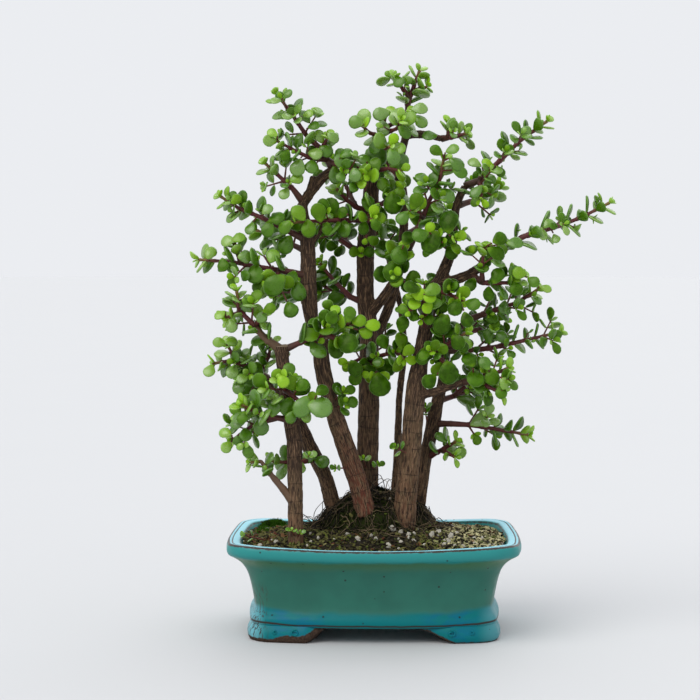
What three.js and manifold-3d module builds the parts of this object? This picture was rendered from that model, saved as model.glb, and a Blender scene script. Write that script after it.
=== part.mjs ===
// Dwarf jade forest: seven trunks growing together in a glazed rectangular tray on cloud feet.
// Millimetres, +Z up, +X to the right, +Y away from the front.
import * as THREE from "three";
import { mergeVertices } from "three/addons/utils/BufferGeometryUtils.js";
import Module from "manifold-3d";

const wasm = await Module();
wasm.setup();

// Tray
const TRAY_LENGTH = 254;
const TRAY_DEPTH = 195;
const TRAY_HEIGHT = 88.5;
const CORNER_RADIUS = 24;
const LONG_SIDE_BOW = 12;
const SHORT_SIDE_BOW = 7;
const RIM_SAG = 4;
const SAG_STARTS_AT = 58;
const CORNER_STEPS = 3;
const LONG_SIDE_STEPS = 4;
const SHORT_SIDE_STEPS = 2;
// Outer face from under the floor up to the rim, then the inner face down: [inset from the rim, height].
const OUTER_PROFILE = [
  [25, 13], [20.5, 16], [21.5, 23], [24.4, 27], [22.5, 41],
  [19.5, 54.5], [15, 66], [7, 74], [1.8, 77], [0, 81.5], [0.6, 86.5], [2.4, 88.5],
];
const INNER_PROFILE = [[11.5, 88.5], [13.5, 86.5], [15, 80.5], [26, 54], [32, 21]];
const FLOOR_TOP = 21;

// Feet
const FOOT_PROFILE = [[19, 0], [17.8, 5], [22, 13.3]];
const FOOT_INNER_INSET = 37;
const LONG_ARCH = { foot: 68, crown: 46, height: 11.5 };
const SHORT_ARCH = { foot: 44, crown: 28, height: 11.5 };

// Drainage
const DRAIN_RADIUS = 9;
const DRAIN_X = 52;
const SCREEN_SIDE = 28;
const SCREEN_THICKNESS = 1.2;
const SCREEN_HOLE = 9;
const SCREEN_PITCH = 12;

// Soil and moss
const GAP = 0.3;
const SOIL_EDGE = 81.5;
const SOIL_RISE = 14;
const SOIL_RINGS = [0.78, 0.4];
const MOUND = { x: 2, y: 9, halfX: 60, halfY: 50, height: 30, sides: 9, rings: [0.97, 0.66, 0.25] };
const PATCH = { x: -96, y: 60, halfX: 12, halfY: 11, height: 5, sides: 8, rings: [0.95, 0.55] };

// Foliage
const LEAF_LENGTH = 17;
const LEAF_CURL = 0.08;
// Across a leaf from its root to its tip: [share of its length, half width as a share of it, half thickness].
const LEAF_STATIONS = [[0.52, 0.46, 0.9], [0.98, 0.25, 0.5]];
const YOUNG_SHARES = [0.62, 0.84];
const LIGHT = new THREE.Vector3(0, 0, 0.18);
const TIP_SPACING = 6.5;
const SPACING_GROWTH = 1.13;
const WIDEST_SPACING = 12;
const KEPT_CYCLE = 5;
const KEPT_JOINTS = 2;
const MAIN_TWIG = 1.9;
const SIDE_TWIG = 1.6;
const TWIG_TAPER = 0.45;
const FORK_BARE = 5;
const STRAIGHT_ENOUGH = 0.975;
const SHOOT_LENGTH = 12;
const SHOOT_SHARE = 0.6;
const TRUNK_SIDES = 7;
const LIMB_SIDES = 5;

// The trunks and stems below are listed as [x, y, z] or [x, y, z, radius]. Their x and z are read on the
// upright plane through the middle of the tray, from the eye below, and y is how far behind it they stand.
// Their z and the eye's are counted from a level line this high above the ground.
const LEVEL_LINE = 6.5;
const EYE = { x: 21, distance: 2069.5, z: 363.5 };

// Seven trunks: the first limb of each is its stem, from the foot in the soil to the top.
const TRUNKS = {
  trunk_front_left: [
    [[-71, -58, 44, 7.4], [-72, -58, 72, 7], [-73, -57, 136, 6.9], [-74, -55, 169, 7.2],
      [-80, -52, 207, 6.5], [-84, -50, 240, 6], [-85, -50, 253, 7.8]],
  ],
  trunk_rear_left: [
    [[-26, 6, 60, 8.6], [-38, 8, 106, 7.6], [-47, 12, 136, 6.9], [-60, 16, 160, 7.2],
      [-71, 10, 186, 5.8], [-88, -5, 205, 4.6], [-98, -15, 222, 4]],
  ],
  trunk_left_main: [
    [[-6, -20, 55, 10.6], [-7, -20, 92, 9.8], [-15, -20, 126, 9], [-31, -20, 173, 8.5],
      [-40, -19, 202, 7.4], [-47, -18, 229, 7.8], [-50, -17, 255, 6.9], [-57, -16, 274, 6.4],
      [-60, -15, 302, 7.7], [-61, -12, 345, 6.9], [-66, -10, 373, 6], [-65, -8, 382, 4.8],
      [-58, -6, 393, 4.6], [-48, -4, 405, 4.6], [-38, -4, 413, 3.8]],
    [[-51, -17, 256, 4.4], [-42, -19, 258, 3.8]],
    [[-58, -6, 394, 4.2], [-55, -7, 407, 3.8]],
    [[-61, -12, 345, 4.4], [-53, -10, 353, 3.4], [-48, -9, 362, 3]],
  ],
  trunk_centre: [
    [[-6, 14, 60, 11.5], [-6, 15, 116, 9.8], [-6, 16, 164, 10], [-5, 17, 202, 9.8],
      [-5, 18, 264, 8.7], [-8, 19, 293, 8], [-8, 20, 340, 8.2], [-4, 20, 377, 8],
      [-3, 20, 396, 7.4], [1, 18, 419, 5], [5, 14, 437, 3.6]],
    [[-5, 18, 280, 5], [17, 5, 309, 4.6], [26, -10, 330, 4.2], [31, -18, 341, 3.8]],
    [[-4, 18, 248, 5], [10, 32, 280, 4.8], [19, 38, 307, 4.6], [26, 41, 350, 4.4], [26, 40, 390, 4.2],
      [22, 37, 403, 4], [24, 34, 423, 3.8], [28, 31, 442, 3.6], [31, 30, 460, 3.2]],
    [[28, 31, 444, 3.8], [44, 19, 445, 3.8], [61, 9, 441, 3]],
  ],
  trunk_right_front: [
    [[27, -20, 55, 11.4], [28, -20, 97, 10.4], [30, -21, 126, 9.9], [33, -22, 155, 9.5],
      [38, -24, 211, 9.2], [42, -25, 240, 7.6], [46, -26, 262, 6.9], [53, -24, 299, 6.4],
      [60, -21, 314, 5.6], [69, -18, 336, 5], [72, -14, 363, 4.4], [75, -12, 382, 3.8], [82, -10, 398, 3.2]],
    [[56, -23, 307, 5.2], [77, -24, 314, 4.7], [89, -25, 319, 4.3], [103, -24, 330, 4]],
    [[38, -24, 207, 5], [54, -33, 210, 3.9], [81, -45, 219, 3]],
  ],
  trunk_right_rear: [
    [[34, 18, 60, 7.6], [41, 20, 108, 6.4], [45, 21, 136, 5.8], [48, 22, 155, 6.1], [54, 22, 182, 7],
      [58, 22, 202, 5.8], [62, 20, 217, 4.8], [66, 14, 247, 4.2], [75, 8, 265, 3.6], [85, 2, 276, 3]],
  ],
  trunk_rear_thin: [
    [[18, 40, 70, 4.6], [19, 42, 120, 3.9], [21, 46, 155, 3.6], [23, 54, 206, 3.3], [27, 60, 249, 3.1],
      [24, 66, 285, 2.9], [16, 72, 322, 2.6]],
  ],
};

// Leafy sprays. The first stem starts inside the wood that carries it, and the others on an earlier stem.
// bare is the leafless length at the foot, bush the share of joints that carry side shoots,
// and leaf the leaf size as a share of the usual one.
const SPRAYS = [
  { name: "spray_top_left", bare: 12, bush: 0.25, leaf: 0.95, stems: [
    [[-38, -4, 413], [-48, -8, 431], [-62, -10, 444], [-73, -12, 460], [-89, -14, 482]],
    [[-43, -6, 422], [-57, -14, 423], [-70, -20, 429], [-89, -24, 439]],
    [[-43, -6, 422], [-26, -16, 413], [-9, -24, 410]],
    [[-48, -8, 431], [-43, -14, 442]]] },
  { name: "spray_left_upper", bare: 12, bush: 0.2, leaf: 0.9, stems: [
    [[-65, -8, 383], [-74, -14, 395], [-89, -18, 409], [-100, -20, 419]]] },
  { name: "spray_left_high", bare: 16, bush: 0.3, leaf: 0.95, stems: [
    [[-61, -12, 348], [-86, -20, 361], [-102, -24, 369], [-124, -27, 378], [-141, -28, 389]]] },
  { name: "spray_cross", bare: 26, bush: 0.3, leaf: 1.1, stems: [
    [[-4, 20, 366], [-16, -4, 367], [-36, -16, 367], [-60, -27, 366], [-74, -30, 365]],
    [[-16, -4, 367], [-7, -18, 366], [-2, -28, 369]]] },
  { name: "spray_left_long", bare: 14, bush: 0.35, leaf: 1.1, stems: [
    [[-60, -14, 316], [-78, -26, 320], [-104, -34, 324], [-131, -36, 329], [-161, -33, 331]],
    [[-122, -36, 327], [-127, -38, 343]],
    [[-88, -30, 321], [-88, -40, 310]]] },
  { name: "spray_stump_left", bare: 12, bush: 0.2, leaf: 0.95, stems: [
    [[-85, -50, 248], [-101, -54, 260], [-112, -57, 273], [-124, -58, 285], [-126, -58, 303]],
    [[-122, -58, 283], [-136, -61, 278]],
    [[-110, -56, 270], [-101, -62, 280]]] },
  { name: "spray_stump_right", bare: 14, bush: 0.2, leaf: 1.1, stems: [
    [[-84, -50, 248], [-62, -56, 258], [-47, -60, 262], [-27, -62, 271]],
    [[-45, -60, 263], [-27, -66, 255]],
    [[-42, -60, 265], [-38, -68, 280]]] },
  { name: "spray_left_mid", bare: 10, bush: 0.25, leaf: 1.05, stems: [
    [[-98, -15, 222], [-114, -24, 232], [-130, -30, 239], [-147, -32, 236]],
    [[-105, -19, 226], [-97, -22, 242], [-94, -25, 256]],
    [[-126, -28, 237], [-134, -36, 252]]] },
  { name: "spray_front_left_low", bare: 14, bush: 0.3, leaf: 1.05, stems: [
    [[-76, -54, 184], [-88, -62, 186], [-103, -70, 189], [-122, -82, 198]],
    [[-90, -63, 186], [-112, -61, 179], [-130, -60, 166]]] },
  { name: "spray_left_foot", bare: 34, bush: 0, leaf: 0.9, stems: [
    [[-72, -58, 106], [-84, -60, 121], [-96, -62, 135], [-104, -63, 146], [-114, -64, 145]]] },
  { name: "spray_left_rear_low", bare: 34, bush: 0.15, leaf: 0.95, stems: [
    [[-54, 14, 150], [-64, -10, 146], [-76, -28, 145], [-95, -34, 146]]] },
  { name: "spray_stump_front", bare: 12, bush: 0.2, leaf: 1.1, stems: [
    [[-80, -52, 208], [-82, -62, 212], [-86, -76, 221]],
    [[-82, -62, 212], [-68, -70, 201], [-56, -74, 194]]] },
  { name: "spray_centre_low", bare: 26, bush: 0.2, leaf: 1.1, stems: [
    [[-5, 18, 240], [-4, -4, 239], [-14, -16, 240], [-24, -24, 235]],
    [[-4, -4, 239], [8, -18, 244], [21, -28, 247], [27, -36, 240]],
    [[-4, -4, 239], [2, -20, 226]]] },
  { name: "spray_centre_tall", bare: 12, bush: 0.35, leaf: 1, stems: [
    [[31, -18, 341], [40, -24, 360], [50, -28, 385], [59, -32, 402], [63, -34, 423]],
    [[44, -26, 370], [36, -40, 378]]] },
  { name: "spray_apex", bare: 10, bush: 0.35, leaf: 0.95, stems: [
    [[31, 30, 460], [30, 27, 472], [34, 24, 484], [41, 22, 503]],
    [[32, 26, 478], [24, 18, 488], [19, 14, 497]],
    [[34, 24, 484], [48, 20, 488]]] },
  { name: "spray_crown", bare: 8, bush: 0.4, leaf: 1.15, stems: [
    [[5, 14, 437], [8, 8, 450], [10, 4, 462]],
    [[6, 11, 443], [-4, -6, 446], [-12, -18, 453]],
    [[7, 10, 445], [20, -8, 450], [24, -20, 458]],
    [[6, 11, 443], [10, -14, 432], [14, -28, 434]],
    [[8, 8, 450], [30, 4, 462]]] },
  { name: "spray_crown_low", bare: 18, bush: 0.45, leaf: 1.1, stems: [
    [[-2, 19, 405], [-4, -2, 411], [-10, -22, 406]],
    [[-4, -2, 411], [12, -16, 414], [24, -28, 412]]] },
  { name: "spray_top_right", bare: 7, bush: 0.3, leaf: 0.9, stems: [
    [[61, 9, 441], [74, 3, 443], [84, 0, 446]],
    [[67, 6, 442], [68, 4, 455]]] },
  { name: "spray_right_top", bare: 12, bush: 0.35, leaf: 0.95, stems: [
    [[82, -10, 398], [95, -14, 403], [116, -18, 423], [131, -21, 438], [157, -24, 457]],
    [[95, -14, 403], [98, -28, 394], [96, -38, 386]]] },
  { name: "spray_right_long", bare: 12, bush: 0.35, leaf: 0.9, stems: [
    [[103, -24, 330], [120, -26, 342], [135, -28, 352], [169, -28, 362], [189, -26, 370], [214, -24, 383]]] },
  { name: "spray_right_mid", bare: 14, bush: 0.3, leaf: 1, stems: [
    [[88, -25, 318], [98, -34, 310], [122, -39, 310], [135, -40, 317]],
    [[98, -34, 310], [98, -44, 326], [100, -48, 342]]] },
  { name: "spray_right_arm", bare: 14, bush: 0.35, leaf: 0.9, stems: [
    [[85, 2, 276], [112, -6, 286], [130, -10, 292], [149, -12, 304]]] },
  { name: "spray_right_low_arm", bare: 20, bush: 0.3, leaf: 0.9, stems: [
    [[67, 13, 248], [95, -2, 249], [109, -8, 251], [135, -13, 257], [169, -16, 265]]] },
  { name: "spray_right_front_low", bare: 10, bush: 0.35, leaf: 1.05, stems: [
    [[81, -45, 219], [97, -49, 222], [122, -52, 232]],
    [[94, -48, 221], [106, -54, 214], [117, -54, 209]]] },
  { name: "spray_right_foot", bare: 24, bush: 0.25, leaf: 1, stems: [
    [[54, 22, 181], [70, 14, 181], [88, 8, 180], [112, 4, 176], [141, 2, 171]]] },
  { name: "spray_right_foot_inner", bare: 14, bush: 0.2, leaf: 1, stems: [
    [[48, 22, 150], [60, 12, 156], [75, 2, 165]],
    [[62, 11, 157], [74, 0, 150]]] },
  { name: "spray_bright_front", bare: 14, bush: 0.45, leaf: 0.95, stems: [
    [[47, -26, 266], [46, -46, 284], [46, -62, 296]],
    [[46, -46, 284], [36, -56, 300]]] },
  { name: "spray_inner_left", bare: 24, bush: 0.2, leaf: 0.95, stems: [
    [[-8, 19, 291], [-22, 14, 297], [-38, 8, 313], [-50, 6, 328]],
    [[-22, 14, 297], [-40, 40, 304], [-62, 54, 314]]] },
  { name: "spray_inner_left_high", bare: 24, bush: 0.3, leaf: 0.95, stems: [
    [[-8, 20, 337], [-22, 16, 343], [-38, 12, 354], [-50, 10, 364]],
    [[-22, 16, 343], [-30, 44, 354], [-38, 66, 368]]] },
  { name: "spray_inner_left_top", bare: 20, bush: 0.35, leaf: 1, stems: [
    [[-4, 20, 374], [-17, 12, 379], [-26, 8, 386], [-35, 4, 396]],
    [[-17, 12, 379], [-26, 34, 398], [-38, 46, 422]]] },
  { name: "spray_inner_front", bare: 14, bush: 0.4, leaf: 1.15, stems: [
    [[20, 2, 315], [19, -18, 322], [16, -34, 318]],
    [[19, -18, 322], [24, -32, 338]]] },
  { name: "spray_inner_top", bare: 18, bush: 0.4, leaf: 1.1, stems: [
    [[-4, 20, 380], [8, 2, 382], [19, -20, 386]],
    [[8, 2, 382], [22, -6, 396]]] },
  { name: "spray_inner_right", bare: 12, bush: 0.4, leaf: 1.05, stems: [
    [[70, -17, 341], [60, -34, 346], [52, -48, 354]],
    [[60, -34, 346], [74, -48, 350]]] },
  { name: "spray_inner_right_low", bare: 12, bush: 0.35, leaf: 1, stems: [
    [[54, -24, 302], [68, -42, 300], [78, -54, 294]]] },
  { name: "spray_front_right", bare: 14, bush: 0.4, leaf: 1.05, stems: [
    [[43, -25, 246], [56, -40, 246], [66, -52, 234]],
    [[56, -40, 246], [72, -50, 258], [84, -54, 264]]] },
  { name: "spray_back_crown", bare: 12, bush: 0.4, leaf: 1, stems: [
    [[16, 72, 322], [10, 84, 342], [2, 92, 362]],
    [[12, 80, 336], [28, 94, 350]]] },
  { name: "spray_back_right", bare: 14, bush: 0.4, leaf: 1, stems: [
    [[24, 66, 286], [46, 80, 298], [72, 88, 310]]] },
  { name: "spray_back_left", bare: 14, bush: 0.4, leaf: 1, stems: [
    [[26, 59, 244], [0, 76, 258], [-26, 86, 270]]] },
  { name: "spray_back_high_right", bare: 14, bush: 0.4, leaf: 1, stems: [
    [[26, 41, 352], [46, 58, 364], [66, 68, 378]]] },
  { name: "spray_back_high", bare: 12, bush: 0.45, leaf: 1, stems: [
    [[24, 38, 400], [16, 58, 412], [6, 70, 428]]] },
  { name: "spray_back_left_high", bare: 16, bush: 0.35, leaf: 0.95, stems: [
    [[-61, -12, 338], [-82, 14, 348], [-108, 26, 358]]] },
  { name: "spray_back_left_mid", bare: 16, bush: 0.35, leaf: 0.95, stems: [
    [[-60, -15, 298], [-78, 14, 302], [-100, 30, 306]]] },
  { name: "spray_back_left_low", bare: 14, bush: 0.35, leaf: 1, stems: [
    [[-84, -2, 201], [-104, 20, 212], [-124, 32, 222]]] },
  { name: "spray_back_right_low", bare: 16, bush: 0.3, leaf: 1, stems: [
    [[58, 22, 202], [72, 36, 206], [98, 56, 216]],
    [[72, 36, 206], [86, 28, 218], [100, 24, 229]]] },
  { name: "spray_back_right_mid", bare: 14, bush: 0.35, leaf: 0.95, stems: [
    [[72, 10, 259], [96, 32, 268], [118, 44, 278]]] },
  { name: "spray_back_right_high", bare: 14, bush: 0.35, leaf: 0.95, stems: [
    [[75, -12, 380], [94, 10, 386], [114, 22, 398]]] },
];

// Colours
const GLAZE = { color: 0x2f8f86, roughness: 0.25, metalness: 0 };
const PLASTIC = { color: 0x26282a, roughness: 0.7, metalness: 0 };
const SOIL = { color: 0x6b5f45, roughness: 1, metalness: 0 };
const MOSS = { color: 0x3d4a22, roughness: 1, metalness: 0 };
const BARK = { color: 0x6a5348, roughness: 0.9, metalness: 0 };
const LEAF = { color: 0x4c8a2c, roughness: 0.4, metalness: 0 };

// A small repeatable generator of numbers from 0 to 1.
function drawsFrom(seed) {
  let state = (seed * 7919 + 104729) % 2147483647;
  return () => {
    state = (state * 16807) % 2147483647;
    return state / 2147483647;
  };
}

// A point of the tables above, moved along the line of sight to its own depth.
function place([x, y, z]) {
  const spread = 1 + y / EYE.distance;
  return new THREE.Vector3(EYE.x + (x - EYE.x) * spread, y, LEVEL_LINE + EYE.z + (z - EYE.z) * spread);
}

// A closed solid from its corners and triangles, turned outwards if they came inside out.
function solidOf(corners, triangles) {
  let volume = 0;
  for (let i = 0; i < triangles.length; i += 3) {
    const [a, b, c] = [corners[triangles[i]], corners[triangles[i + 1]], corners[triangles[i + 2]]];
    volume += a.dot(b.clone().cross(c));
  }
  const triVerts = Uint32Array.from(volume > 0 ? triangles : triangles.toReversed());
  const vertProperties = Float32Array.from(corners.flatMap((corner) => corner.toArray()));
  return new wasm.Manifold(new wasm.Mesh({ numProp: 3, vertProperties, triVerts }));
}

// A closed solid from one of three.js's own geometries.
function solidFrom(geometry) {
  geometry.deleteAttribute("normal");
  geometry.deleteAttribute("uv");
  const merged = mergeVertices(geometry, 1e-4);
  const corners = [];
  for (let i = 0; i < merged.attributes.position.count; i += 1) {
    corners.push(new THREE.Vector3().fromBufferAttribute(merged.attributes.position, i));
  }
  return solidOf(corners, Array.from(merged.index.array));
}

// A closed solid through rings that all have the same number of corners, with both ends capped.
function loft(rings) {
  const count = rings[0].length;
  const triangles = [];
  for (let ring = 0; ring + 1 < rings.length; ring += 1) {
    for (let i = 0; i < count; i += 1) {
      const next = (i + 1) % count;
      const [a, b] = [ring * count + i, ring * count + next];
      triangles.push(a, b, b + count, a, b + count, a + count);
    }
  }
  const last = (rings.length - 1) * count;
  for (let i = 1; i + 1 < count; i += 1) {
    triangles.push(0, i + 1, i, last, last + i, last + i + 1);
  }
  return solidOf(rings.flat(), triangles);
}

// Rings round a route of points, each with its own radius.
function ringsAlong(points, radii, sides) {
  let across = new THREE.Vector3(0, 1, 0);
  return points.map((point, i) => {
    const before = points[Math.max(i - 1, 0)];
    const after = points[Math.min(i + 1, points.length - 1)];
    const ahead = after.clone().sub(before).normalize();
    across = across.clone().addScaledVector(ahead, -across.dot(ahead)).normalize();
    const third = ahead.clone().cross(across);
    return Array.from({ length: sides }, (_, side) => {
      const angle = (side / sides) * Math.PI * 2;
      return point.clone()
        .addScaledVector(across, radii[i] * Math.cos(angle))
        .addScaledVector(third, radii[i] * Math.sin(angle));
    });
  });
}

// The tray's outline at one height: a rounded rectangle with bowed sides, whose rim dips between corners.
function trayOutline(inset, height, lift = 0) {
  const halfX = TRAY_LENGTH / 2 - inset;
  const halfY = TRAY_DEPTH / 2 - inset;
  const radius = Math.max(CORNER_RADIUS - inset * 0.4, 6);
  const corners = [[1, 1, 0], [-1, 1, 1], [-1, -1, 2], [1, -1, 3]];
  const flat = [];
  corners.forEach(([signX, signY, quarter]) => {
    for (let i = 0; i <= CORNER_STEPS; i += 1) {
      const angle = (quarter + i / CORNER_STEPS) * (Math.PI / 2);
      flat.push([signX * (halfX - radius) + radius * Math.cos(angle),
        signY * (halfY - radius) + radius * Math.sin(angle)]);
    }
    const steps = quarter % 2 ? SHORT_SIDE_STEPS : LONG_SIDE_STEPS;
    const [fromX, fromY] = flat[flat.length - 1];
    const [alongX, alongY] = quarter % 2 ? [0, -signY * 2 * (halfY - radius)] : [-signX * 2 * (halfX - radius), 0];
    for (let i = 1; i < steps; i += 1) {
      flat.push([fromX + (alongX * i) / steps, fromY + (alongY * i) / steps]);
    }
  });
  const sagShare = Math.max(0, (height - SAG_STARTS_AT) / (TRAY_HEIGHT - SAG_STARTS_AT));
  return flat.map(([x, y]) => {
    const [shareX, shareY] = [x / halfX, y / halfY];
    const cornerness = (shareX * shareY) ** 2;
    return new THREE.Vector3(
      x + shareX * SHORT_SIDE_BOW * (1 - shareY ** 2),
      y + shareY * LONG_SIDE_BOW * (1 - shareX ** 2),
      height - RIM_SAG * sagShare * (1 - cornerness) + lift,
    );
  });
}

// An arch with curved shoulders, cut between two feet and run right under the tray.
function archCutter(arch, throughLength) {
  const shape = new THREE.Shape();
  shape.moveTo(-arch.foot, -1);
  shape.lineTo(arch.foot, -1);
  shape.lineTo(arch.foot, 0);
  shape.bezierCurveTo(arch.foot - 4, arch.height * 0.6, arch.crown + 8, arch.height * 0.3, arch.crown, arch.height);
  shape.lineTo(-arch.crown, arch.height);
  shape.bezierCurveTo(-arch.crown - 8, arch.height * 0.3, -arch.foot + 4, arch.height * 0.6, -arch.foot, 0);
  const geometry = new THREE.ExtrudeGeometry(shape, { depth: throughLength, bevelEnabled: false, curveSegments: 3 });
  geometry.translate(0, 0, -throughLength / 2);
  geometry.rotateX(Math.PI / 2);
  return geometry;
}

function makeTray() {
  const profile = [...OUTER_PROFILE, ...INNER_PROFILE];
  const bowl = loft(profile.map(([inset, height]) => trayOutline(inset, height)));
  const footBand = loft(FOOT_PROFILE.map(([inset, height]) => trayOutline(inset, height)));
  const footCore = loft([trayOutline(FOOT_INNER_INSET, -1), trayOutline(FOOT_INNER_INSET, TRAY_HEIGHT / 2)]);
  const longArch = solidFrom(archCutter(LONG_ARCH, TRAY_DEPTH * 1.2));
  const shortArch = solidFrom(archCutter(SHORT_ARCH, TRAY_LENGTH * 1.2).rotateZ(Math.PI / 2));
  const feet = footBand.subtract(footCore).subtract(longArch).subtract(shortArch);
  let tray = bowl.add(feet);
  for (const side of [-1, 1]) {
    const drain = new THREE.CylinderGeometry(DRAIN_RADIUS, DRAIN_RADIUS, FLOOR_TOP * 2, 12);
    tray = tray.subtract(solidFrom(drain.rotateX(Math.PI / 2).translate(side * DRAIN_X, 0, FLOOR_TOP)));
  }
  return tray;
}

function screenPlate(centreX, grow) {
  const side = SCREEN_SIDE + 2 * grow;
  const plate = new THREE.BoxGeometry(side, side, SCREEN_THICKNESS + 2 * grow);
  return solidFrom(plate.translate(centreX, 0, FLOOR_TOP + GAP + SCREEN_THICKNESS / 2));
}

function makeScreen(centreX) {
  let screen = screenPlate(centreX, 0);
  for (const row of [-0.5, 0.5]) {
    for (const column of [-0.5, 0.5]) {
      const hole = new THREE.BoxGeometry(SCREEN_HOLE, SCREEN_HOLE, SCREEN_THICKNESS * 3);
      hole.translate(centreX + column * SCREEN_PITCH, row * SCREEN_PITCH, FLOOR_TOP + GAP + SCREEN_THICKNESS / 2);
      screen = screen.subtract(solidFrom(hole));
    }
  }
  return screen;
}

// The soil's surface: low at the walls and gently heaped towards the middle.
function soilHeight(x, y) {
  const acrossX = 1 - (x / (TRAY_LENGTH / 2 - INNER_PROFILE[2][0])) ** 2;
  const acrossY = 1 - (y / (TRAY_DEPTH / 2 - INNER_PROFILE[2][0])) ** 2;
  return SOIL_EDGE + SOIL_RISE * Math.max(acrossX, 0) * Math.max(acrossY, 0);
}

function makeSoil(lift) {
  const wall = INNER_PROFILE.slice(2).reverse();
  const rings = wall.map(([inset, height]) => trayOutline(inset + GAP, Math.max(height, FLOOR_TOP + GAP)));
  const edge = rings.pop().map((corner) => new THREE.Vector3(corner.x, corner.y, SOIL_EDGE - 2 + lift));
  rings.push(edge);
  for (const share of SOIL_RINGS) {
    rings.push(edge.map(({ x, y }) => new THREE.Vector3(x * share, y * share, soilHeight(x * share, y * share) + lift)));
  }
  return loft(rings);
}

// A low cushion of moss, whose foot reaches below the soil's surface until the soil is cut out of it.
function mossCushion(cushion) {
  const ellipse = (share, height) => Array.from({ length: cushion.sides }, (_, side) => {
    const angle = (side / cushion.sides) * Math.PI * 2;
    const x = cushion.x + cushion.halfX * share * Math.cos(angle);
    const y = cushion.y + cushion.halfY * share * Math.sin(angle);
    return new THREE.Vector3(x, y, height(x, y));
  });
  const rings = [ellipse(1, () => SOIL_EDGE - 8)];
  for (const share of cushion.rings) {
    rings.push(ellipse(share, (x, y) => soilHeight(x, y) + 1 + cushion.height * (1 - share ** 2)));
  }
  return loft(rings);
}

function limbSolid(limb, sides, grow) {
  const radii = limb.map(([, , , radius]) => radius + grow);
  return loft(ringsAlong(limb.map(place), radii, sides));
}

function trunkSolid(limbs, grow = 0) {
  const [stem, ...others] = limbs;
  return others.reduce((wood, limb) => wood.add(limbSolid(limb, LIMB_SIDES, grow)),
    limbSolid(stem, TRUNK_SIDES, grow));
}

// The straight runs of a stem, each with its heading and the two directions across it, carried from run to run.
function runsOf(points, turn) {
  let across = new THREE.Vector3(0, 1, 0);
  let from = 0;
  return points.slice(1).map((end, i) => {
    const heading = end.clone().sub(points[i]);
    const length = heading.length();
    heading.normalize();
    across = across.clone().addScaledVector(heading, -across.dot(heading)).normalize();
    if (!i) across.applyAxisAngle(heading, turn);
    const run = { start: points[i], heading, across, third: heading.clone().cross(across), from, length };
    from += length;
    return run;
  });
}

// A square ring round a point. Its corners run the same way in a twig, in a shoot and in a leaf,
// so each of them can grow straight out of a side of the one before.
function squareRing(centre, wide, tall, halfWide, halfTall) {
  return [[-1, -1], [1, -1], [1, 1], [-1, 1]].map(([x, y]) => centre.clone()
    .addScaledVector(wide, x * halfWide)
    .addScaledVector(tall, y * halfTall));
}

// How a leaf or shoot leaves the twig: outwards, somewhat forwards, and turned up to the light.
function sideways(outward, heading, forward) {
  const along = outward.clone().addScaledVector(heading, forward).add(LIGHT).normalize();
  const upper = heading.clone().addScaledVector(along, -along.dot(heading)).normalize();
  return { along, upper, wide: upper.clone().cross(along) };
}

// A leaf as rings from its root to its tip, with the ring where it leaves the twig kept for testing.
function planLeaf(foot, { along, upper, wide }, length, half) {
  const rings = LEAF_STATIONS.map(([forward, aside, thick]) => squareRing(
    foot.clone().addScaledVector(along, forward * length).addScaledVector(upper, LEAF_CURL * length * forward ** 2),
    wide, upper, aside * length, thick));
  return { rings, root: squareRing(foot, wide, upper, half, half) };
}

// A short side shoot with one pair of leaves at its tip.
function planShoot(foot, directions, reach, half, size, forward) {
  const { along, upper, wide } = directions;
  const slim = half * SHOOT_SHARE;
  const end = foot.clone().addScaledVector(along, reach);
  const before = end.clone().addScaledVector(along, -2 * slim);
  const held = [[1, 1], [3, -1]].map(([face, side]) => {
    const outward = wide.clone().multiplyScalar(side);
    const leafFoot = end.clone().addScaledVector(along, -slim).addScaledVector(outward, slim);
    return { gap: 1, face, ...planLeaf(leafFoot, sideways(outward, along, forward), size, slim) };
  });
  return { rings: [before, end].map((centre) => squareRing(centre, wide, upper, slim, slim)), held };
}

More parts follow.
